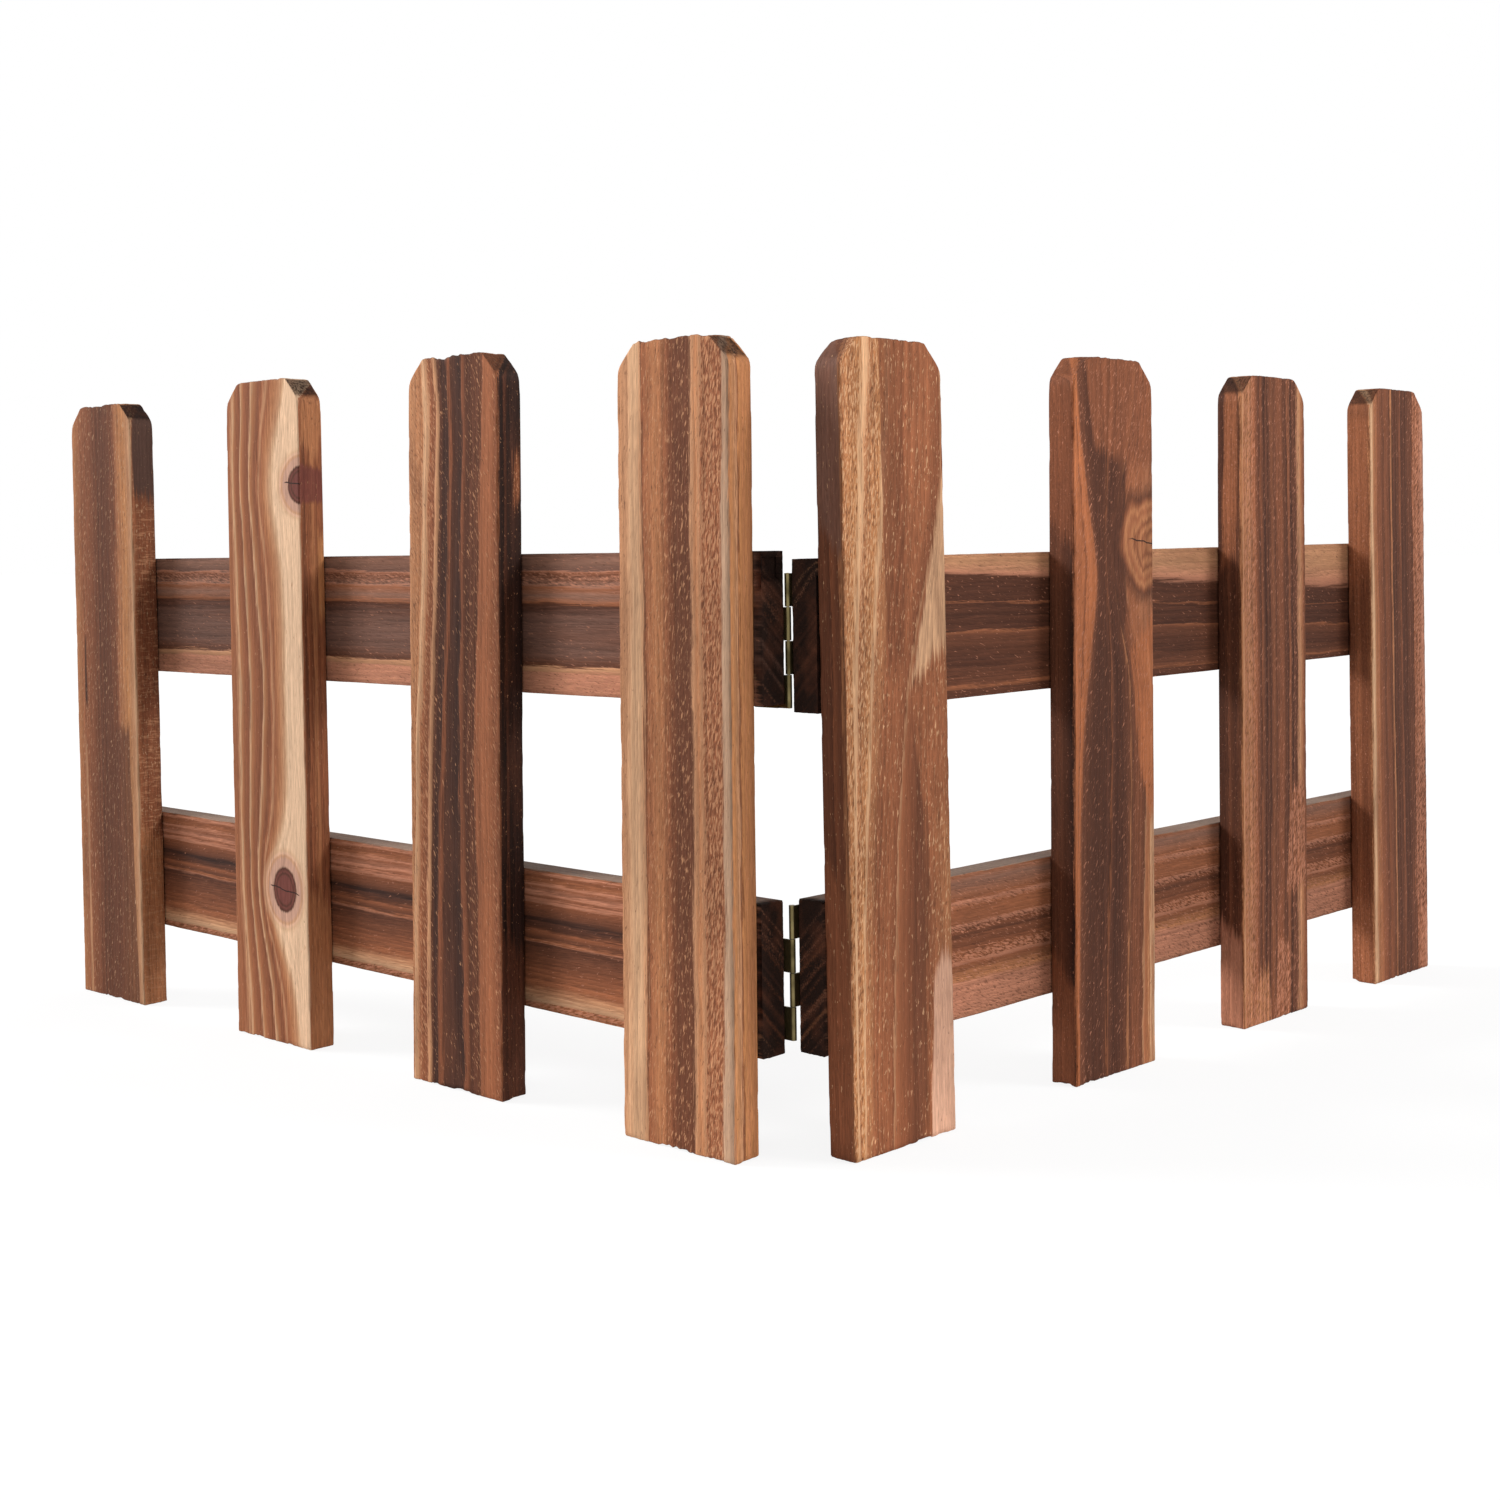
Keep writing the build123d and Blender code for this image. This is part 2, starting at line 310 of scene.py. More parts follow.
LOOKS["right_picket_2"] = {
    "bands": [
        (-16, "umber", .1), (-8, "walnut", .1), (-4, "umber", .1), (-1.4, "soot", .2),
        (-0.4, "sienna", .3), (1.6, "russet", .35), (4.4, "russet", .4), (5, "chestnut", .4),
        (5.6, "russet", .4), (9.2, "russet", .45), (10.6, "walnut", .4), (15, "umber", .3),
        (19, "umber", .3), (23.4, "umber", .2), (24, "sienna", .1), (24.7, "umber", .25),
        (31, "umber", .3), (35.8, "walnut", .3), (36.6, "honey", .15), (37.3, "walnut", .3),
        (44, "chestnut", .3), (49.8, "walnut", .3), (50.6, "tan", .15), (51.4, "sienna", .3),
        (53.6, "honey", .1), (54.6, "straw", .1), (55.2, "sienna", .1), (56, "straw", .1), (57, "tan", .1),
    ],
    "lines": [
        (10, [(300, 1.5), (281, 3), (246, 10), (211, 18), (180, 11.5), (150, 6.5), (123, 3.5), (60, 2.2),
              (0, 2)]),
        (24, [(300, 26), (262, 24.5), (226, 22), (195, 24), (180, 26), (123, 27), (52, 22), (0, 21)]),
        (36.6, [(300, 46), (270, 40), (245, 32), (226, 27), (205, 28), (190, 33), (165, 40), (123, 40.5),
              (52, 37), (0, 36)]),
        (51, [(300, 56.6), (268, 52), (245, 40), (226, 33), (207, 35), (190, 42), (165, 52), (123, 51),
              (52, 48.5), (0, 48)]),
    ],
    "slope": -1.0, "fleck": "salmon", "lean": 30, "ear_burn": .45, "streak": .22, "crack": .7,
    "lightness_and_painted_shade": [(0, 1.24), (45, 1.05), (95, .9), (180, .95), (225, 1.12), (305, 1.25)],
    "knots": [(57.5, 226.0, 28.0, 22.0)],
    "knot_rings": [
        (0, "walnut", 1), (.1, "chestnut", 1), (.2, "honey", 1), (.3, "chestnut", 1), (.4, "honey", 1),
        (.5, "chestnut", 1), (.58, "honey", 1), (.7, "sienna", 1), (.8, "honey", 1), (.9, "chestnut", .9),
        (.98, "umber", .8), (1.1, "umber", .5), (1.3, "walnut", 0),
    ],
    "knot_wobble": .6,
    "patches": [
        ("sienna", .4, [(33, 240), (44, 272), (60, 296), (60, 174), (40, 184)]),
        ("russet", .4, [(40, 180), (60, 198), (60, 112), (54, 106), (46, 132)]),
        ("umber", .2, [(24, 212), (30, 252), (37, 262), (37, 190), (28, 186)]),
        ("chestnut", .4, [(6, 318), (60, 318), (60, 258), (30, 262), (14, 268)]),
        ("chestnut", .2, [(-13, 318), (0, 318), (0, 222), (-13, 238)]),
        ("chestnut", .1, [(-13, -9), (-1, -9), (-1, 40), (-13, 60)]),
    ],
}
LOOKS["right_picket_3"] = {
    "bands": [
        (-16, "umber", .1), (-9, "umber", .1), (-7, "walnut", .1), (-4, "umber", .2), (-2, "walnut", .2),
        (0, "honey", .3), (1.2, "tan", .3), (2.2, "sienna", .6), (3.4, "honey", .8), (7, "honey", .9),
        (11, "sienna", .7), (13.4, "chestnut", .4), (16, "umber", .3), (17, "chestnut", .3),
        (20, "umber", .3), (26, "walnut", .3), (27.4, "sienna", .4), (28.6, "walnut", .4),
        (34, "chestnut", .4), (40.6, "umber", .3), (41.8, "sienna", .4), (43.2, "umber", .4),
        (48.6, "walnut", .5), (50.4, "tan", .5), (53, "honey", .5), (54.6, "chestnut", .4),
        (60, "sienna", .3),
    ],
    "lines": [
        (13, [(300, 12.5), (150, 14), (0, 12)]), (42, [(300, 42), (150, 43), (0, 40)]),
    ],
    "slope": -1.0, "fleck": "salmon", "lean": 22, "ear_burn": .8, "streak": .34,
    "patches": [
        ("sienna", 1, [(26, -8), (41, -8), (41, 34), (30, 38)]),
        ("honey", .9, [(8, -8), (24, -8), (22, 26), (12, 24)]),
        ("salmon", .1, [(-13, -9), (-1, -9), (-1, 40), (-13, 52)]),
        ("sienna", .3, [(-11, 212), (-3, 220), (-2, 300), (-8, 300)]),
        ("sienna", 1, [(38, 58), (55, 62), (54, 112), (42, 104)]),
    ],
}
LOOKS["right_picket_4"] = {
    "bands": [
        (-16, "chestnut", .3), (-10, "chestnut", .2), (-8, "sienna", .3), (-5, "chestnut", .2),
        (-3, "chestnut", .2), (-1.6, "sienna", .2), (-0.6, "honey", .2), (.4, "straw", .2),
        (2.4, "straw", .2), (4.0, "honey", .4), (8, "sienna", .3), (10, "chestnut", .25),
        (15, "walnut", .2), (16, "chestnut", .2), (21.8, "walnut", .2), (22.7, "honey", .2),
        (24, "umber", .2), (31, "walnut", .25), (32, "chestnut", .2), (33, "umber", .2),
        (44, "walnut", .3), (45.3, "chestnut", .7), (47, "sienna", .9), (51, "sienna", 1),
        (54, "salmon", .9), (60, "halo", .7),
    ],
    "lines": [
        (9, [(300, 8), (150, 9), (0, 11)]), (45, [(300, 44), (150, 45.5), (0, 46)]),
    ],
    "slope": -1.0, "fleck": "salmon", "lean": 34, "ear_burn": .8,
    "side_burn": [(20, 0), (60, 0), (120, .15), (180, .2), (230, .05), (280, 0), (290, .4)],
    "patches": [
        ("chestnut", 1, [(43, 36), (58, 26), (58, 122), (46, 112)]),
        ("sienna", .3, [(-12.7, 195), (-2.4, 205), (-2.4, 300), (-12.7, 300)]),
        ("sienna", .4, [(-12.7, -9), (-2.4, -9), (-2.4, 38), (-12.7, 50)]),
    ],
    "notches": [(122, 3.0, 1.3), (70, 2.0, .7)], "streak": .3,
}
print("pickets:", len(LOOKS))

# %% Rails, from their upper edge downwards
LOOKS["left_upper_rail"] = {
    "bands": [
        (-16, "dim", .1), (-0.8, "dim", .2), (3, "dusk", .2), (6.6, "dim", .25), (7.1, "salmon", .2),
        (7.8, "chestnut", .7), (12.4, "dusk", .7), (12.9, "salmon", .3), (13.5, "sienna", .1),
        (17, "dusk", .1), (20.2, "sienna", .1), (20.8, "umber", .05), (27, "dim", .1), (40, "dim", .2),
        (45, "walnut", .3), (45.8, "tan", .1), (47.3, "tan", .2), (48, "salmon", .5), (64, "salmon", .6),
    ],
    "lines": [
        (20.5, [(0, 20), (200, 21), (457, 20.5)]), (45.5, [(0, 45), (250, 46.5), (457, 45)]),
    ],
    "slope": -1.0, "fleck": "salmon", "lean": 12, "sawn": .7, "saw_lean": .7, "chips": [(-2, 11.5, 2.6)],
    # painted shade: the rail darkens just beside each picket, where the picket shadows it
    "lightness_and_painted_shade": [(46, .66), (80, .84), (132, .9), (190, .7), (222, 1), (267, 1), (326, .62), (354, 1.05),
          (397, 1.1)],
}
LOOKS["left_lower_rail"] = {
    "bands": [
        (-16, "chestnut", .2), (-6, "walnut", .2), (0, "sienna", .3), (1.6, "salmon", .1),
        (2.2, "chestnut", .2), (5, "sienna", .2), (6.4, "salmon", .1), (7, "chestnut", .2),
        (10.3, "salmon", .1), (10.9, "chestnut", .1), (13.6, "salmon", .1), (14.2, "chestnut", .1),
        (18.6, "walnut", .1), (20.4, "soot", .05), (23, "umber", .05), (25.5, "chestnut", .1),
        (28, "walnut", .1), (29, "sienna", .05), (29.5, "salmon", .05), (30, "umber", .05),
        (34, "walnut", .05), (41, "chestnut", .1), (47, "sienna", .2), (50, "tan", .1), (53, "straw", .1),
        (54.4, "sienna", .9), (58, "honey", .6),
    ],
    "lines": [
        (20, [(0, 18), (230, 20.5), (457, 19)]), (29.5, [(0, 27), (230, 30), (457, 29)]),
    ],
    "slope": -1.0, "fleck": "salmon", "lean": -14,
    # painted shade: the rail darkens just beside each picket, where the picket shadows it
    "lightness_and_painted_shade": [(46, .85), (80, 1), (132, 1.05), (190, .82), (222, 1), (267, 1.1), (326, .72), (354, 1.05),
          (397, 1.15)],
    "patches": [
        ("grey", .1, [(-14, -40), (-0.2, -40), (-0.2, 500), (-14, 500)]),
    ],
}
LOOKS["right_upper_rail"] = {
    "bands": [
        (-30, "sienna", .3), (-14, "sienna", .5), (-1, "tan", .4), (4, "tan", .3), (8.2, "salmon", .3),
        (9.2, "umber", .2), (18.7, "umber", .2), (19.2, "sienna", .2), (19.7, "umber", .1),
        (30.3, "umber", .1), (31, "sienna", .2), (31.7, "walnut", .1), (42, "umber", .1),
        (51.6, "walnut", .1), (52.5, "sienna", .2), (53.6, "umber", .3), (64, "chestnut", .3),
    ],
    "lines": [
        (9, [(0, 6), (70, 7.5), (160, 11), (260, 16), (360, 21), (457, 23)]),
        (19.5, [(0, 18), (70, 19), (160, 21), (260, 26), (360, 29), (457, 30)]),
        (31, [(0, 30), (160, 32), (300, 37), (457, 42)]),
    ],
    "slope": -1.0, "fleck": "salmon", "lean": 18,
    "lightness_and_painted_shade": [(60, 1.05), (110, 1.0), (190, 1.0), (230, .9), (457, .84)],
}
LOOKS["right_lower_rail"] = {
    "bands": [
        (-16, "chestnut", .2), (-6, "walnut", .2), (0, "sienna", .3), (3, "dusk", .3), (9.6, "sienna", .4),
        (10.6, "salmon", .7), (12.4, "sienna", .7), (13.4, "sienna", .2), (18.6, "sienna", .2),
        (19.4, "salmon", .9), (21, "chestnut", 1), (23, "walnut", .3), (29.4, "chestnut", .3),
        (30.2, "sienna", .9), (33.6, "sienna", 1), (34.6, "salmon", .3), (35.6, "chestnut", .3),
        (41.4, "honey", .7), (42.6, "salmon", .4), (45, "salmon", .9), (49, "salmon", .7),
        (54, "salmon", .9), (64, "tan", .8),
    ],
    "lines": [
        (20, [(0, 20), (200, 21.5), (457, 19)]), (42, [(0, 42), (200, 43.5), (457, 41)]),
    ],
    "slope": -1.0, "fleck": "salmon", "lean": 20,
    # painted shade beside right_picket_2, where it shadows the rail; darker towards the far end
    "lightness_and_painted_shade": [(60, 1.12), (95, 1.0), (128, .84), (190, .98), (240, .86), (300, .9), (350, .82), (457, .8)],
    "patches": [
        ("grey", .1, [(-14, -40), (-0.2, -40), (-0.2, 500), (-14, 500)]),
    ],
}
print("boards:", len(LOOKS))

# %% [markdown]
# ## Growth lines on a board
# In the log the rings are nested cylinders, and a sawn board cuts them almost flat. So a ring's place is a
# smooth function of the spot: the way across, stretched so that the listed lines fall where they should, plus
# a slope times the depth. Near a knot the listed lines part and close again behind it. The value is stored on
# the mesh, and the finish looks its tone up there, so the lines stay sharp at any zoom.

# %% Smooth noise and the ring function
LATTICE_ROWS, LATTICE_COLUMNS = 64, 512
PATH_EASE, PATH_REACH = 14.0, 60.0
RING_WAVES = ((1.1, 30, 60), (0.7, 9, 17))  # how high, and how long across and along the grain, in mm
WAVE_MARGIN, LEAST_BAND = 3, 0.3
FAR_OFF, FAR_RADII, SIDE_FACE = 99.0, 9.0, 0.95
PATCH_EDGE = 2.0


def value_noise(x, y, seed):
    """Seeded random heights on a lattice, joined by smooth steps: about one bump per unit, from 0 to 1."""
    lattice = np.random.default_rng(seed).random((LATTICE_ROWS, LATTICE_COLUMNS))
    cell_x, cell_y = np.floor(x).astype(int), np.floor(y).astype(int)
    part_x, part_y = x - cell_x, y - cell_y
    ease_x, ease_y = part_x ** 2 * (3 - 2 * part_x), part_y ** 2 * (3 - 2 * part_y)
    corner = {
        (i, j): lattice[(cell_x + i) % LATTICE_ROWS, (cell_y + j) % LATTICE_COLUMNS]
        for i in (0, 1) for j in (0, 1)
    }
    near = corner[0, 0] * (1 - ease_x) + corner[1, 0] * ease_x
    far = corner[0, 1] * (1 - ease_x) + corner[1, 1] * ease_x
    return near * (1 - ease_y) + far * ease_y


def wandering(path, l, length):
    """A line's place across at each height: straight between its listed places, then eased by averaging."""
    along, across = zip(*sorted(path))
    reach = np.arange(-PATH_REACH, length + PATH_REACH)
    bell = np.exp(-(np.arange(-PATH_REACH, PATH_REACH + 1) / PATH_EASE) ** 2)
    raw = np.interp(np.arange(-2 * PATH_REACH, length + 2 * PATH_REACH), along, across)
    return np.interp(l, reach, np.convolve(raw, bell / bell.sum(), "valid")[:len(reach)])


def ring_place(look, size, a, d, l, seed):
    """Across, stretched piece by piece between the listed lines, plus slope times depth and slow waves."""
    rings = [0.0, *(ring for ring, path in look["lines"]), size[0]]
    edges = [0 * a, *(wandering(path, l, size[2]) for ring, path in look["lines"]), 0 * a + size[0]]
    waves = sum(high * (value_noise(a / wide, l / long, seed + order) - 0.5)
                for order, (high, wide, long) in enumerate(RING_WAVES))
    a = a + waves * np.clip(np.minimum(a, size[0] - a) / WAVE_MARGIN, 0, 1)
    ring = np.minimum(a, 0) + np.maximum(a - size[0], 0) + look["slope"] * d
    for low, high, start, end in zip(rings, rings[1:], edges, edges[1:]):
        ring = ring + (high - low) * np.clip((a - start) / np.maximum(end - start, LEAST_BAND), 0, 1)
    return ring


def knot_field(look, a, l, side):
    """Offset in millimetres from the nearest knot's heart, and how many knot radii away; far on side faces."""
    across, along = np.full_like(a, FAR_OFF), np.full_like(a, FAR_OFF)
    radii = np.full_like(a, FAR_RADII)
    for knot_a, knot_l, half_wide, half_long in look.get("knots", ()):
        away = np.hypot((a - knot_a) / half_wide, (l - knot_l) / half_long)
        nearer = away < radii
        radii = np.where(nearer, away, radii)
        across, along = np.where(nearer, a - knot_a, across), np.where(nearer, l - knot_l, along)
    return np.column_stack((across, along, np.where(side > SIDE_FACE, FAR_RADII, radii)))


def inside_patch(corners, a, l, ease):
    """1 inside a convex outline of (across, along) corners and 0 outside: the least depth behind any edge."""
    spots = np.array(corners, float)
    centre = spots.mean(0)
    inside = np.ones_like(a)
    for start, end in zip(spots, np.roll(spots, -1, axis=0)):
        normal = np.array((end[1] - start[1], start[0] - end[0])) / np.hypot(*(end - start))
        normal = normal * np.sign((centre - start) @ normal)
        depth = (a - start[0]) * normal[0] + (l - start[1]) * normal[1]
        border = np.hypot(PATCH_EDGE * normal[0], ease * normal[1])
        inside = np.minimum(inside, np.clip(depth / border + 0.5, 0, 1))
    return inside


print("noise runs from", value_noise(np.arange(5.0), np.zeros(5), 1).round(2))

# %% [markdown]
# ## The board itself
# A board could be a box with a bevel, but a brushed board has no straight line left: its lines stand in
# relief, its corners are rubbed round and its sawn ends are frayed. So the six faces of a box are laid out
# as grids, merged where they meet, pulled onto rounded edges and pressed in along their outward direction
# by a relief worked out from the rings. A picket's ends are bitten back as well, so its outline is ragged.
# Everything is carved inwards, so the CAD board's size is never passed.

# %% Grids over the six faces of a box
ACROSS_STEP, DEPTH_STEP = 0.75, 1.1
PICKET_STEP, RAIL_STEP = 1.7, 2.6
EDGE_SHARES = (0, 0.3, 0.62)


def stations(length, step, edge):
    """Places from 0 to a length: close together over the rounded ends and evenly spaced between."""
    close = np.array(EDGE_SHARES) * edge
    between = np.linspace(edge, length - edge, round(length / step))
    return np.concatenate((close, between, length - close[::-1]))


def box_grids(across, depth, along):
    """The faces of a box as grids of (across, depth, along) spots, merged; all quads turn outwards."""
    wide, thick, long = across[-1], depth[-1], along[-1]
    faces = (
        (across, along, lambda u, v: (u, 0 * u, v)), (along, across, lambda u, v: (v, 0 * u + thick, u)),
        (along, depth, lambda u, v: (0 * u, v, u)), (depth, along, lambda u, v: (0 * u + wide, u, v)),
        (depth, across, lambda u, v: (v, u, 0 * u)), (across, depth, lambda u, v: (u, v, 0 * u + long)),
    )
    spots, quads, start = [], [], 0
    for first, second, spot in faces:
        u, v = np.meshgrid(first, second, indexing="ij")
        spots.append(np.stack(spot(u, v), axis=-1).reshape(-1, 3))
        index = start + np.arange(u.size).reshape(u.shape)
        ring = (index[:-1, :-1], index[1:, :-1], index[1:, 1:], index[:-1, 1:])
        quads.append(np.stack(ring, axis=-1).reshape(-1, 4))
        start += u.size
    spots = np.concatenate(spots)
    keys = np.round(spots, 4)
    _, kept, merged = np.unique(keys, axis=0, return_index=True, return_inverse=True)
    return spots[kept], merged.reshape(-1)[np.concatenate(quads)]


test_spots, test_quads = box_grids(stations(57, 9, 1), stations(12.7, 4, 1), stations(305, 40, 1))
print("a coarse box has", len(test_spots), "spots and", len(test_quads), "quads")

# %% Rounded, dog-eared and brushed
EAR_EASE, EAR_CRUMBLE = 0.2, 0.7
BRUSHED_SHARE, SHELTER = 0.6, 0.6  # of the listed depth; the brush spares ends and sides
FUZZ_DEPTH, FIBRE_DEPTH = 0.2, 0.14
CHIP_DEPTH, CHIP_LIMIT, CHIP_EASE = 2.4, 0.6, 1.5
BITE_DEPTH, BITE_REACH, BITE_MOST, BITE_BY_TONE = 2.2, 9.0, 0.6, 0.7
BITE_SIZES = ((12.0, 0.5), (5.0, 0.5), (1.7, 0.4))  # width of the bites in mm, and their share
TOP_LIMIT, FOOT_LIMIT, ENDS_APART = 0.88, 0.95, 40.0
CORNER_WEAR, CORNER_REACH = 0.5, 4


def rounded(spots, size, edge):
    """Spots pulled onto a box with round edges: the nearest spot of an inner box plus the radii outwards."""
    core = np.clip(spots, edge, size - edge)
    away = (spots - core) / edge
    outward = away / np.linalg.norm(away, axis=1, keepdims=True)
    return core + edge * outward, outward


def ear_share(board, l):
    """How far up its dog ear a height is: 0 below the shoulder, 1 at the top, eased at the start."""
    if board["ear"] is None:
        return np.zeros_like(l)
    drop = board["ear"][1]
    share = (l - (board["size"][2] - drop)) / drop
    return (share + np.sqrt(share ** 2 + EAR_EASE ** 2)) / 2


def relief_depth(board, look, details, seed):
    """How far each spot is pressed in: brush depth by tone, fibres, fuzz, chipped edges and crumbled ears."""
    a, d, l = details["grain"].T
    ring, end, side, share = details["ring"], details["end"], details["side"], details["share"]
    places, names, fuzzes = zip(*look["bands"])
    brushed = np.interp(ring, places, [TONES[name][1] for name in names])
    fuzz = np.interp(ring, places, fuzzes)
    relief = BRUSHED_SHARE * brushed * (1 - SHELTER * end - SHELTER * side)
    relief = relief + FIBRE_DEPTH * value_noise(ring / 0.9, l / 24, seed + 2)
    relief = relief + FUZZ_DEPTH * fuzz * value_noise(a / 0.8 + d / 0.8, l / 2.6, seed + 3)
    chips = np.clip(value_noise(a / 25 + d / 3, l / 7, seed + 4) - CHIP_LIMIT, 0, 1) * CHIP_DEPTH
    relief = relief + chips * details["arris"]
    crumble = value_noise(l / 2.6 + a / 9, d / 3.2, seed + 6) * np.clip(share * 3, 0, 1) * side
    relief = relief + EAR_CRUMBLE * look.get("crumble", 1.0) * crumble
    for height, half, depth in look.get("notches", ()):
        at_edge = details["outward"][:, 0] > 0.3
        relief = relief + depth * at_edge * np.clip(1 - ((l - height) / half) ** 2, 0, 1)
    for start, stop, depth in look.get("chips", ()):
        at_hinge = details["outward"][:, 2] * -look["slope"] > 0.5
        between = np.clip((stop - a) / CHIP_EASE, 0, 1) * np.clip((a - start) / CHIP_EASE, 0, 1)
        relief = relief + depth * at_hinge * between
    return relief


def bitten_ends(board, look, details, seed):
    """How far a picket's ends are bitten back: noise across the grain, above a limit, easing off inwards."""
    a, d, l = details["grain"].T
    if board["ear"] is None:
        return np.zeros_like(l)
    upper = l > board["size"][2] / 2
    from_end = np.where(upper, board["size"][2] - l, l)
    places, names, fuzzes = zip(*look["bands"])
    bite = BITE_BY_TONE * np.interp(details["ring"], places, [TONES[name][1] for name in names])
    for size, share in BITE_SIZES:
        bite = bite + share * value_noise(a / size + d / 6, ENDS_APART * upper, seed + 5)
    bite = BITE_DEPTH * np.clip(bite - np.where(upper, TOP_LIMIT, FOOT_LIMIT), 0, BITE_MOST)
    from_corner = LIST_SIZE[0] / 2 - board["ear"][0] - np.abs(a - LIST_SIZE[0] / 2)
    bite = bite + CORNER_WEAR * upper * np.clip(1 - from_corner / CORNER_REACH, 0, 1) ** 2
    return bite * np.clip(1 - from_end / BITE_REACH, 0, 1) * np.where(upper, -1, 1)


def brushed_board(board, look, seed):
    """The board's carved spots, its quads, and what the finish needs at each spot, in the lists' millimetres."""
    size = board["size"]
    along_step = RAIL_STEP if board["ear"] is None else PICKET_STEP
    steps = (ACROSS_STEP, DEPTH_STEP, along_step)
    edge = board["edge"]
    spots, quads = box_grids(*(stations(*each) for each in zip(size, steps, edge)))
    spots, outward = rounded(spots, size, edge)
    a, d, l = spots.T
    share = ear_share(board, l)
    if board["ear"]:
        a = size[0] / 2 + (a - size[0] / 2) * (1 - 2 * share * board["ear"][0] / size[0])
    shape = np.column_stack((a, d, l))
    listed = np.array((*LIST_SIZE, size[2]))
    a, d, l = (shape * listed / size).T
    end, side = np.abs(outward[:, 2]), np.abs(outward[:, 0])
    details = {
        "ring": ring_place(look, listed, a, d, l, seed), "grain": np.column_stack((a, d, l)),
        "knot": knot_field(look, a, l, side), "outward": outward, "share": share, "side": side, "end": end,
        "arris": np.clip(2.0 * side * np.abs(outward[:, 1]) + 2.0 * end * (1 - end), 0, 1),
    }
    carved = shape - outward * relief_depth(board, look, details, seed)[:, None]
    carved[:, 2] += bitten_ends(board, look, details, seed)
    return carved, quads, details


print("brush depth up to", max(depth for colour, depth in TONES.values()), "mm")

# %% [markdown]
# ## Where the flame went
# The torch leaves most char on cut ends, on dog ears and along some side faces, where the end grain drinks
# the heat. It could be painted by hand, but a rule follows the shape better: the value comes from which way
# a spot faces and how high it lies, and the finish breaks its border up with the fibres. Away from the char a
# picket is palest at its ends, and a rail gets painted shade beside its pickets, where they shadow it.

# %% Char and patches as values on the mesh
HEAD_BURN, FOOT_BURN, RAIL_END_BURN = 0.55, 0.4, 0.95
RAIL_END_REACH, RAIL_END_START = 6.0, 1.3
STREAK_LEAST, STREAK_MORE, STREAK_WIDTH = 0.72, 0.56, 2.2
PATCH_EASE, KNOT_EASE = 16.0, 5.0  # how soft a patch's ends are, in mm along the grain
PICKET_LIGHT = [(0, 1.2), (45, 1.1), (95, 0.94), (205, 0.93), (245, 1.06), (305, 1.13)]


def burn_value(board, look, details):
    """Char from 0 to 1: on the ears by how high they are, on sawn ends, and down the sides as listed."""
    l = details["grain"][:, 2]
    end, side, upwards = details["end"], details["side"], details["outward"][:, 2] > 0
    if board["ear"] is None:
        from_end = np.minimum(l, board["size"][2] - l)
        streaks = STREAK_LEAST + STREAK_MORE * value_noise(details["ring"] / STREAK_WIDTH, 0 * l, 5)
        near_end = np.maximum(end, RAIL_END_START - from_end / RAIL_END_REACH)
        return RAIL_END_BURN * np.clip(near_end, 0, 1) * streaks
    on_ear = np.clip(details["share"] * 4, 0, 1) * np.clip(side * 1.6, 0, 1)
    burn = np.maximum(look["ear_burn"] * on_ear, np.where(upwards, HEAD_BURN, FOOT_BURN) * end)
    if "side_burn" in look:
        along, amount = zip(*look["side_burn"])
        burn = np.maximum(burn, np.interp(l, along, amount) * np.clip(side * 1.4 - 0.3, 0, 1))
    return burn


def lightness_and_painted_shade_value(board, look, details):
    """How light the wood is, from (along, amount) pairs: as listed, or as on a usual picket or a plain rail.
    On the rails the lists hold painted shade beside the pickets.
    """
    usual = [(0, 1.0)] if board["ear"] is None else PICKET_LIGHT
    places, amounts = zip(*look.get("lightness_and_painted_shade", usual))
    return np.interp(details["grain"][:, 2], places, amounts)


def patch_values(look, details):
    """Each patch as values from 0 to 1; across is unrolled onto the side faces."""
    a, d, l = details["grain"].T
    unrolled = a + np.where(details["outward"][:, 0] * look["slope"] > 0, look["slope"] * d, 0)
    return [inside_patch(corners, unrolled, l, KNOT_EASE if tone_name == "knot" else PATCH_EASE)
            for tone_name, fuzz, corners in look.get("patches", ())]


print("char on a rail's end:", RAIL_END_BURN)

# %% [markdown]
# ## The finish of the wood
# Torched and wire-brushed fir is matt, with a faint sheen on its hard lines. The eye sees three scales at
# once: bands some millimetres wide, fibres a few tenths wide and centimetres long, and a fuzz of torn, pale
# fibre ends where the brush bit. The bands come from the listed tones through a colour ramp, whose alpha
# carries the fuzz. The rest is noise stretched along the grain, at sizes in millimetres.

# %% One function that adds a node
def add(tree, kind, inputs, out=0, **settings):
    """Adds a node, sets its settings, sets or links its inputs, and gives back one of its outputs."""
    made = tree.nodes.new(kind)
    for key, value in settings.items():
        setattr(made, key, value)
    for socket, value in inputs.items():
        if isinstance(value, bpy.types.NodeSocket):
            tree.links.new(value, made.inputs[socket])
        else:
            made.inputs[socket].default_value = value
    return made.outputs[out] if made.outputs else made


def new_tree(name):
    """A new material and its emptied node tree."""
    material = bpy.data.materials.new(name)
    material.use_nodes = True
    material.node_tree.nodes.clear()
    return material, material.node_tree


def fill_ramp(ramp, stops, low, high):
    """Puts (place, tone, alpha) stops on a ramp whose ends stand for the places low and high."""
    elements = ramp.node.color_ramp.elements
    for number, (place, tone_name, alpha) in enumerate(stops):
        spot = (place - low) / (high - low)
        stop = elements.new(spot) if number else elements[0]
        stop.position = spot
        stop.color = (*tone(tone_name)[:3], alpha)
    elements.remove(elements[len(elements) - 1])


print("node helper ready")

# %% Torched and brushed fir
RAMP_LOW, RAMP_HIGH = -32.0, 75.0
KNOT_REACH = 2.4
LINE_SPACING = 1.7
BOARD_APART = 90.0  # so that no two boards share their noise
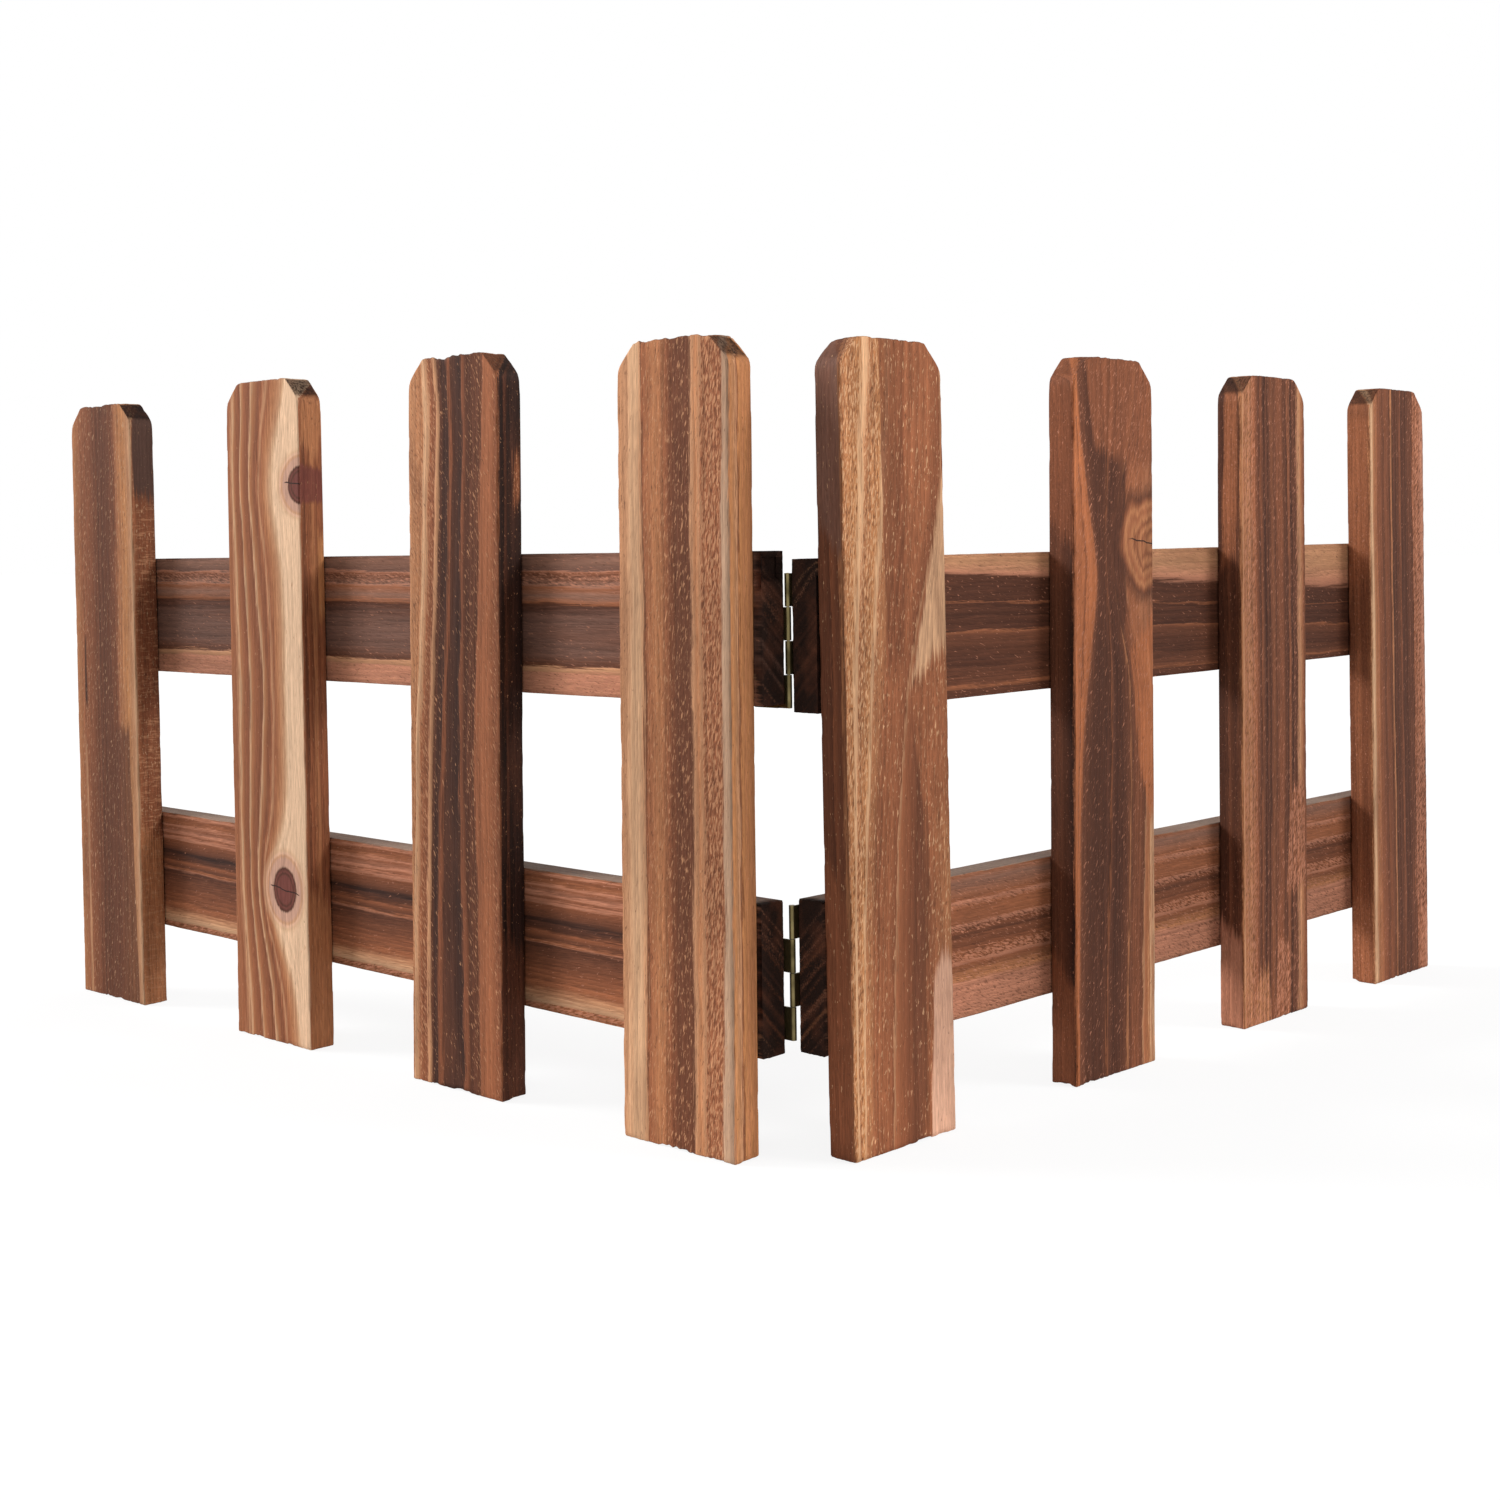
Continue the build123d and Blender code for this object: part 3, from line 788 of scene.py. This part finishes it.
# Size in mm across, into and along the grain, share of the board's lean, detail and swirl of each noise.
# Real fibres are finer than 0.1 mm: these are drawn as coarse as the render needs to show them.
PATTERNS = {
    "fibre": ((0.8, 0.8, 26.0), 0.0, 3.0, 0.0), "hair": ((0.4, 0.4, 6.0), 0.4, 2.0, 0.0),
    "fleck": ((0.72, 0.72, 3.1), 1.0, 2.0, 0.6), "cloud": ((12.0, 12.0, 60.0), 0.0, 3.0, 0.3),
}
SAW_SIZE = (5.0, 5.0, 0.9)
BUMP_DEPTH = 0.0004


def fir(name, look, number):
    """Torched fir: bands by ring, jittered by fibres, with pale flecks, patches, knots and char over them."""
    material, tree = new_tree(name)
    grain = add(tree, "ShaderNodeAttribute", {}, 1, attribute_name="grain")
    ring = add(tree, "ShaderNodeAttribute", {}, 2, attribute_name="ring")
    burn = add(tree, "ShaderNodeAttribute", {}, 2, attribute_name="burn")
    noise = {}
    for pattern, (size, leaning, detail, swirl) in PATTERNS.items():
        turn = (0, leaning * math.radians(look["lean"]), 0)
        spot = add(tree, "ShaderNodeMapping", {
            "Vector": grain, "Location": (0, BOARD_APART * number, 0), "Rotation": turn, "Scale": size,
        }, vector_type="TEXTURE")
        noise[pattern] = add(tree, "ShaderNodeTexNoise", {
            "Vector": spot, "Scale": 1.0, "Detail": detail, "Distortion": swirl,
        })

    # Growth bands, with edges that the fibres pull about
    pull = add(tree, "ShaderNodeMapRange", {0: noise["fibre"], 1: 0.3, 2: 0.7, 3: -0.8, 4: 0.8}, clamp=False)
    pull = add(tree, "ShaderNodeMath", {0: noise["hair"], 1: 1.6, 2: pull}, operation="MULTIPLY_ADD")
    placed = add(tree, "ShaderNodeMath", {0: ring, 1: pull}, operation="ADD")
    place = add(tree, "ShaderNodeMapRange", {0: placed, 1: RAMP_LOW + 0.8, 2: RAMP_HIGH + 0.8})
    colour = add(tree, "ShaderNodeValToRGB", {0: place})
    fill_ramp(colour, look["bands"], RAMP_LOW, RAMP_HIGH)
    fuzz = colour.node.outputs[1]
    lines = add(tree, "ShaderNodeTexNoise", {
        "W": add(tree, "ShaderNodeMath", {0: placed, 1: LINE_SPACING}, operation="DIVIDE"), "Scale": 1.0,
        "Detail": 3.0}, noise_dimensions="1D")

    # Patches, with borders frayed along the grain
    for order, (tone_name, fuzz_amount, corners) in enumerate(look.get("patches", ())):
        patch = add(tree, "ShaderNodeAttribute", {}, 2, attribute_name=f"patch_{order}")
        ragged = add(tree, "ShaderNodeMath", {0: noise["fibre"], 1: 1.3, 2: patch}, operation="MULTIPLY_ADD")
        mask = add(tree, "ShaderNodeMapRange", {0: ragged, 1: 1.0, 2: 1.4, 4: 0.88})
        colour = add(tree, "ShaderNodeMix", {0: mask, 6: colour, 7: tone(tone_name)}, 2, data_type="RGBA")
        fuzz = add(tree, "ShaderNodeMix", {0: mask, 2: fuzz, 3: fuzz_amount})

    # Toasted clouds where the flame lingered
    toast = add(tree, "ShaderNodeMapRange", {0: noise["cloud"], 1: 0.47, 2: 0.72, 4: look.get("toast", 0.4)})
    colour = add(tree, "ShaderNodeMix", {0: toast, 6: colour, 7: tone("walnut")}, 2, data_type="RGBA")

    # Torn fibre ends stand out pale, and the pits between them are dark
    torn = add(tree, "ShaderNodeMath", {0: fuzz, 1: 0.22, 2: noise["fleck"]}, operation="MULTIPLY_ADD")
    pale = add(tree, "ShaderNodeMapRange", {0: torn, 1: 0.685, 2: 0.755, 4: 0.72})
    scrubbed = add(tree, "ShaderNodeMath", {0: fuzz, 1: -0.17, 2: noise["fleck"]}, operation="MULTIPLY_ADD")
    pit = add(tree, "ShaderNodeMapRange", {0: scrubbed, 1: 0.31, 2: 0.23, 4: 0.6})
    colour = add(tree, "ShaderNodeMix", {0: pit, 6: colour, 7: tone("umber")}, 2, data_type="RGBA")
    colour = add(tree, "ShaderNodeMix", {0: pale, 6: colour, 7: tone(look["fleck"])}, 2, data_type="RGBA")

    # Saw marks run across the grain where no brush went
    if look.get("sawn"):
        spot = add(tree, "ShaderNodeMapping", {"Vector": grain, "Rotation": (0, look.get("saw_lean", 0.0), 0),
                                               "Scale": SAW_SIZE}, vector_type="TEXTURE")
        marks = add(tree, "ShaderNodeTexNoise", {"Vector": spot, "Scale": 1.0, "Detail": 3.0})
        marks = add(tree, "ShaderNodeMapRange", {0: marks, 1: 0.52, 2: 0.7, 4: 0.6})
        sawn = add(tree, "ShaderNodeAttribute", {}, 2, attribute_name="sawn")
        marks = add(tree, "ShaderNodeMath", {0: marks, 1: sawn}, operation="MULTIPLY")
        colour = add(tree, "ShaderNodeMix", {0: marks, 6: colour, 7: tone("tan")}, 2, data_type="RGBA")

    # Knots: their own rings, and a drying crack through the heart
    if look.get("knots"):
        knot = add(tree, "ShaderNodeAttribute", {}, 1, attribute_name="knot")
        off_across, off_along, radii = add(tree, "ShaderNodeSeparateXYZ", {0: knot}).node.outputs
        uneven = look.get("knot_wobble", 0.0)
        wobble = add(tree, "ShaderNodeMath", {0: noise["hair"], 1: 0.24, 2: radii}, operation="MULTIPLY_ADD")
        wobble = add(tree, "ShaderNodeMath", {0: noise["cloud"], 1: uneven, 2: wobble}, operation="MULTIPLY_ADD")
        start = 0.12 + uneven / 2
        rings = add(tree, "ShaderNodeValToRGB",
                    {0: add(tree, "ShaderNodeMapRange", {0: wobble, 1: start, 2: KNOT_REACH + start})})
        fill_ramp(rings, look["knot_rings"], 0, KNOT_REACH)
        cover = rings.node.outputs[1]
        colour = add(tree, "ShaderNodeMix", {0: cover, 6: colour, 7: rings}, 2, data_type="RGBA")
        wander = add(tree, "ShaderNodeMath", {0: off_across, 1: 0.12, 2: off_along}, operation="MULTIPLY_ADD")
        wander = add(tree, "ShaderNodeMath", {0: noise["cloud"], 1: 4.0, 2: wander}, operation="MULTIPLY_ADD")
        gap = add(tree, "ShaderNodeMath", {0: wander, 1: 2.0, 2: 0.3}, operation="COMPARE")
        near = add(tree, "ShaderNodeMapRange", {0: radii, 1: look["crack"], 2: look["crack"] - 0.15})
        crack = add(tree, "ShaderNodeMath", {0: gap, 1: near}, operation="MULTIPLY")
        colour = add(tree, "ShaderNodeMix", {0: crack, 6: colour, 7: tone("soot")}, 2, data_type="RGBA")

    # Char, with red-brown lines that it did not reach
    scorch = add(tree, "ShaderNodeMath", {0: noise["fibre"], 1: 0.7, 2: burn}, operation="MULTIPLY_ADD")
    scorch = add(tree, "ShaderNodeMath", {0: noise["hair"], 1: 0.4, 2: scorch}, operation="MULTIPLY_ADD")
    scorch = add(tree, "ShaderNodeMapRange", {0: scorch, 1: 0.82, 2: 1.5})
    ember = add(tree, "ShaderNodeMapRange", {0: noise["cloud"], 1: 0.45, 2: 0.75})
    black = add(tree, "ShaderNodeMix", {0: ember, 6: tone("char"), 7: tone("umber")}, 2, data_type="RGBA")
    colour = add(tree, "ShaderNodeMix", {0: scorch, 6: colour, 7: black}, 2, data_type="RGBA")

    # Fine light and dark along the fibres
    amount = look.get("streak", 0.18)
    shade = add(tree, "ShaderNodeMapRange", {0: noise["fibre"], 1: 0.3, 2: 0.7, 3: 0.84, 4: 1.16})
    streak = add(tree, "ShaderNodeMapRange", {0: lines, 1: 0.3, 2: 0.7, 3: 1 - amount, 4: 1 + amount})
    shade = add(tree, "ShaderNodeMath", {0: shade, 1: streak}, operation="MULTIPLY")
    thread = add(tree, "ShaderNodeMapRange", {0: noise["hair"], 1: 0.3, 2: 0.7, 3: 0.82, 4: 1.18})
    shade = add(tree, "ShaderNodeMath", {0: shade, 1: thread}, operation="MULTIPLY")
    # Lightness along the board; on the rails this is painted shade beside the pickets
    lightness_and_painted_shade = add(tree, "ShaderNodeAttribute", {}, 2, attribute_name="lightness_and_painted_shade")
    shade = add(tree, "ShaderNodeMath", {0: shade, 1: lightness_and_painted_shade}, operation="MULTIPLY")
    colour = add(tree, "ShaderNodeVectorMath", {0: colour, "Scale": shade}, operation="SCALE")

    height = add(tree, "ShaderNodeMath", {0: noise["hair"], 1: 0.5, 2: noise["fibre"]}, operation="MULTIPLY_ADD")
    height = add(tree, "ShaderNodeMath", {0: pale, 1: 0.7, 2: height}, operation="MULTIPLY_ADD")
    bump = add(tree, "ShaderNodeBump", {"Strength": 0.6, "Distance": BUMP_DEPTH, "Height": height})
    matt = add(tree, "ShaderNodeMapRange", {0: scorch, 3: 0.66, 4: 0.9})
    surface = add(tree, "ShaderNodeBsdfPrincipled", {"Base Color": colour, "Roughness": matt, "Normal": bump,
                                                     "IOR": 1.45, "Specular IOR Level": 0.12})
    add(tree, "ShaderNodeOutputMaterial", {0: surface})
    return material


print("fibres", PATTERNS["fibre"][0][0], "mm wide, flecks", PATTERNS["fleck"][0][2], "mm long")

# %% [markdown]
# ## Making the twelve boards
# Each board is one mesh with its values stored as attributes on its points. Writing whole arrays with
# foreach_set is far quicker than touching points one by one. The new board rides on the CAD board's body and
# stands for it, so it folds with the panel.

# %% Build every board
RAIL_SAWN_FROM, SAWN_EASE, BURNT_EASE = 46, 3, 10


def store(mesh, name, values):
    """Stores one value or one vector for each point as a mesh attribute."""
    kind, key = ("FLOAT", "value") if values.ndim == 1 else ("FLOAT_VECTOR", "vector")
    mesh.attributes.new(name, kind, "POINT").data.foreach_set(key, values.astype(np.float32).ravel())


def mesh_object(name, positions, faces):
    """A smooth-shaded mesh object at the origin, with its place in its mesh."""
    mesh = bpy.data.meshes.new(name)
    mesh.from_pydata(positions, [], faces)
    mesh.polygons.foreach_set("use_smooth", np.ones(len(faces), bool))
    piece = bpy.data.objects.new(name, mesh)
    bpy.context.scene.collection.objects.link(piece)
    return piece


def dress_board(node, number):
    """Makes one brushed board, stores its values, gives it its finish and puts it in its node's place."""
    look = LOOKS[node]
    side_name = "left" if node in bodies["left_panel"] else "right"
    measure = measure_rail if node.endswith("rail") else measure_picket
    board = measure(node, SIDES[side_name])
    carved, quads, details = brushed_board(board, look, 10 * number)
    piece = mesh_object("brushed_" + node, board["place"](*carved.T), quads)
    store(piece.data, "ring", details["ring"])
    store(piece.data, "grain", details["grain"])
    store(piece.data, "knot", details["knot"])
    for order, values in enumerate(patch_values(look, details)):
        store(piece.data, f"patch_{order}", values)
    store(piece.data, "burn", burn_value(board, look, details))
    store(piece.data, "lightness_and_painted_shade", lightness_and_painted_shade_value(board, look, details))
    if look.get("sawn"):
        a, d, l = details["grain"].T
        where = details["side"] if board["ear"] else np.clip((a - RAIL_SAWN_FROM) / SAWN_EASE, 0, 1)
        unburnt = np.clip((look.get("sawn_below", math.inf) - l) / BURNT_EASE, 0, 1)
        store(piece.data, "sawn", look["sawn"] * where * unburnt)
    piece.data.materials.append(fir("torched_fir_" + node, look, number))
    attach(piece, side_name + "_panel")
    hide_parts(node)
    return piece


boards = [dress_board(node, number) for number, node in enumerate(sorted(LOOKS))]
print(len(boards), "boards,", sum(len(board.data.polygons) for board in boards) * 2, "triangles")

# %% [markdown]
# ## Hinges
# The hinges are thin steel, brass-plated and gone dull, so their gold is olive and uneven. The CAD leaves and
# pins have the right shape already: they only need a metal with smudges in its colour and its gloss.

# %% Dulled brass plate and a drawn steel pin
SMUDGE_SIZE = (0.006, 0.006, 0.009)
DRAWN_SIZE = (0.0006, 0.0006, 0.012)


def plated(name, bright, dull, rough_low, rough_high):
    """Metal whose colour runs between a bright and a dull tone over smudges, with a fine drawn grain."""
    material, tree = new_tree(name)
    spot = add(tree, "ShaderNodeTexCoord", {}, 3)
    smudge_spot = add(tree, "ShaderNodeMapping", {"Vector": spot, "Scale": SMUDGE_SIZE}, vector_type="TEXTURE")
    smudge = add(tree, "ShaderNodeTexNoise", {"Vector": smudge_spot, "Scale": 1.0})
    drawn_spot = add(tree, "ShaderNodeMapping", {"Vector": spot, "Scale": DRAWN_SIZE}, vector_type="TEXTURE")
    drawn = add(tree, "ShaderNodeTexNoise", {"Vector": drawn_spot, "Scale": 1.0})
    share = add(tree, "ShaderNodeMapRange", {0: smudge, 1: 0.35, 2: 0.65})
    colour = add(tree, "ShaderNodeMix", {0: share, 6: linear(bright), 7: linear(dull)}, 2, data_type="RGBA")
    rough = add(tree, "ShaderNodeMapRange", {0: smudge, 1: 0.3, 2: 0.7, 3: rough_low, 4: rough_high})
    bump = add(tree, "ShaderNodeBump", {"Strength": 0.25, "Distance": 0.0001, "Height": drawn})
    surface = add(tree, "ShaderNodeBsdfPrincipled", {"Base Color": colour, "Metallic": 1.0, "Roughness": rough,
                                                     "Normal": bump})
    add(tree, "ShaderNodeOutputMaterial", {0: surface})
    return material


# Brass plate gone dull is an olive gold, drawn wire is a warm grey, and blued nails are nearly black
brass = plated("dulled_brass_plate", "#877a54", "#544a30", 0.3, 0.5)
steel = plated("drawn_steel_wire", "#a59a86", "#7d7466", 0.3, 0.45)
blackened = plated("blued_steel_nail", "#5c554e", "#38332f", 0.4, 0.6)
for node, cad_piece in frame["nodes"].items():
    if "hinge" in node:
        cad_piece.data.materials.clear()
        cad_piece.data.materials.append(steel if node.endswith("pin") else brass)
print("hinge nodes finished:", sum("hinge" in node for node in frame["nodes"]))

# %% [markdown]
# ## Screws and nails
# The leaves are held by small countersunk screws with a cross slot, and the pickets by nails driven through
# the rails from behind. Each is a profile turned round its axis, so one function makes both: radii and
# heights along the profile, and a circle of angles. All the copies on a panel become one mesh.

# %% A profile turned round an axis, copied to many places
SLOT_WIDTH, SLOT_REACH, SLOT_DEPTH = 0.26, 1.15, 0.3
SLOT_WALL, SLOT_END = 0.1, 0.15


def turned(radii, heights, count, slot=0.0):
    """Points r cos, r sin and height for each profile ring, and triangles; a cross slot sinks the middle."""
    angle = np.linspace(0, 2 * math.pi, count, endpoint=False)
    r, t = np.meshgrid(radii, angle, indexing="ij")
    x, y = r * np.cos(t), r * np.sin(t)
    arm = np.clip((SLOT_WIDTH - np.minimum(abs(x), abs(y))) / SLOT_WALL, 0, 1)
    arm = arm * np.clip((SLOT_REACH - r) / SLOT_END, 0, 1)
    h = np.asarray(heights)[:, None] - slot * arm
    index = np.arange(r.size).reshape(r.shape)
    after = np.roll(index, -1, axis=1)
    halves = ((index[:-1], index[1:], after[1:]), (index[:-1], after[1:], after[:-1]))
    sides = [np.stack(half, axis=-1).reshape(-1, 3) for half in halves]
    rims = (index[0], index[-1, ::-1])
    caps = [np.column_stack((np.full(count - 2, rim[0]), rim[1:-1], rim[2:])) for rim in rims]
    return np.column_stack((x.ravel(), y.ravel(), h.ravel())), np.concatenate(sides + caps)


def copies(name, side_name, shape, spots, material):
    """One mesh of a turned shape at each (along, out, up) spot, its axis pointing out of the panel's back."""
    points, triangles = shape
    x, y, height = points.T
    s, o, z = np.array(spots).T[:, :, None]
    places = to_world(SIDES[side_name], (s - x).ravel(), (o - height).ravel(), (z + y).ravel())
    starts = len(points) * np.arange(len(spots))[:, None, None]
    piece = mesh_object(name, places, (starts + triangles).reshape(-1, 3))
    piece.data.materials.append(material)
    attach(piece, side_name + "_panel")


print("a plain turned disc has", len(turned((0.3, 1.0), (0.0, -0.2), 16)[1]), "triangles")

# %% Screws in the leaves
SCREW_FROM_PIN, SCREW_SPACING = 11.0, 31.0
SCREW_CORNERS = 48
HEAD_RADII = (0.08, 0.2, 0.32, 0.45, 0.6, 0.75, 0.9, 1.05, 1.2, 1.4, 1.65, 1.82, 1.86, 1.55)
HEAD_HEIGHTS = (0.12, 0.12, 0.12, 0.12, 0.12, 0.115, 0.11, 0.1, 0.09, 0.07, 0.04, 0.0, -0.06, -0.4)
screw = turned(HEAD_RADII, HEAD_HEIGHTS, SCREW_CORNERS, SLOT_DEPTH)
for side_name, side in SIDES.items():
    spots = []
    for level in ("upper", "lower"):
        s, o, z = cad_points(f"{level}_hinge_{side_name}_leaf", side)
        leaf_back = o[abs(s) > SCREW_FROM_PIN].min()
        for share in (-0.5, 0.5):
            spots.append((side * SCREW_FROM_PIN, leaf_back, (z.min() + z.max()) / 2 + share * SCREW_SPACING))
    copies("hinge_screws_" + side_name, side_name, screw, spots, brass)
print("screws:", 2 * len(spots))

# %% Nails at the crossings, on the rails' backs
NAIL_RADII, NAIL_HEIGHTS = (0.3, 0.8, 1.05, 1.1, 0.9), (0.0, -0.02, -0.08, -0.2, -0.7)
NAIL_OFF_ACROSS, NAIL_OFF_UP, NAIL_CORNERS = 13.0, 11.0, 16
nail = turned(NAIL_RADII, NAIL_HEIGHTS, NAIL_CORNERS)
for side_name, side in SIDES.items():
    spots = []
    for level in ("upper", "lower"):
        s, o, z = cad_points(f"{side_name}_{level}_rail", side)
        for number in (1, 2, 3, 4):
            middle = cad_points(f"{side_name}_picket_{number}", side)[0].mean()
            for share in (-1, 1):
                spots.append((middle + share * NAIL_OFF_ACROSS, o.min(), z.mean() + share * NAIL_OFF_UP))
    copies("picket_nails_" + side_name, side_name, nail, spots, blackened)
print("nails:", 2 * len(spots))

# %% [markdown]
# ## Floor, light and camera
# The fence stands on white, in the soft even light of a small studio. A bright sky alone would light it
# flatly, so two wide lamps from the front give its relief some shape. Camera rays see the floor and the sky
# as white, while the floor still takes the fence's shadow.

# %% White floor
FLOOR_HALF = 30.0
FLOOR_WHITE, FLOOR_GLOW = 0.82, 1.06


def seen_share(tree):
    """1 for rays from the camera, a gloss or a glass, which show the backdrop, and 0 for the rest."""
    rays = add(tree, "ShaderNodeLightPath", {}).node.outputs
    seen = rays["Is Camera Ray"]
    for kind in ("Is Glossy Ray", "Is Transmission Ray"):
        seen = add(tree, "ShaderNodeMath", {0: seen, 1: rays[kind]}, operation="MAXIMUM")
    return seen


corners = np.array([(-1, -1), (1, -1), (1, 1), (-1, 1)]) * FLOOR_HALF
floor = mesh_object("floor", np.column_stack((corners, np.zeros(4))), np.array([[0, 1, 2, 3]]))
floor_paint, tree = new_tree("white_studio_floor")
matt = add(tree, "ShaderNodeBsdfDiffuse", {"Color": linear("#e8e8e8")})
white = add(tree, "ShaderNodeEmission", {"Color": (1, 1, 1, 1), "Strength": FLOOR_GLOW})
lit_share = add(tree, "ShaderNodeMath", {0: seen_share(tree), 1: FLOOR_WHITE}, operation="MULTIPLY")
add(tree, "ShaderNodeOutputMaterial", {0: add(tree, "ShaderNodeMixShader", {0: lit_share, 1: matt, 2: white})})
floor.data.materials.append(floor_paint)
print("floor", 2 * FLOOR_HALF, "m wide")

# %% White sky
SKY_LIGHT = 0.5
world = bpy.data.worlds.new("studio")
bpy.context.scene.world = world
world.use_nodes = True
world.node_tree.nodes.clear()
tree = world.node_tree
level = add(tree, "ShaderNodeMapRange", {0: seen_share(tree), 3: SKY_LIGHT, 4: 1.0})
sky = add(tree, "ShaderNodeBackground", {"Color": (1, 1, 1, 1), "Strength": level})
add(tree, "ShaderNodeOutputWorld", {0: sky})
print("sky lights at", SKY_LIGHT)

# %% Two wide lamps
LAMPS = {"left_lamp": (-104, 30, 3.0), "right_lamp": (76, 32, 1.85)}
LAMP_SPREAD = math.radians(22)
for name, (azimuth, height, power) in LAMPS.items():
    lamp = bpy.data.lights.new(name, "SUN")
    lamp.energy = power
    lamp.angle = LAMP_SPREAD
    holder = bpy.data.objects.new(name, lamp)
    bpy.context.scene.collection.objects.link(holder)
    holder.rotation_euler = (math.radians(90 - height), 0, math.radians(azimuth))
print("lamps", LAMPS)

# %% Camera at the photograph's viewpoint
FRAME_PIXELS, SENSOR = 1500, 36.0
FOCAL_PIXELS, HORIZON_ROW = 1973.5, 551.6
CAMERA_FROM_PIN = np.array((-33.2, -737.7, 224.7))
YAW, ROLL = math.radians(1.5), math.radians(-0.78)
camera_data = bpy.data.cameras.new("camera")
camera_data.sensor_width = SENSOR
camera_data.lens = FOCAL_PIXELS * SENSOR / FRAME_PIXELS
camera_data.shift_y = (HORIZON_ROW - FRAME_PIXELS / 2) / FRAME_PIXELS
camera = bpy.data.objects.new("camera", camera_data)
bpy.context.scene.collection.objects.link(camera)
turn = Matrix.Rotation(-YAW, 4, "Z") @ Matrix.Rotation(math.pi / 2, 4, "X") @ Matrix.Rotation(ROLL, 4, "Z")
camera.matrix_world = Matrix.Translation(PIN + MM * CAMERA_FROM_PIN) @ turn
bpy.context.scene.camera = camera
bpy.context.scene.view_settings.view_transform = "Standard"
print("lens", round(camera_data.lens, 2), "mm, shift", round(camera_data.shift_y, 4))
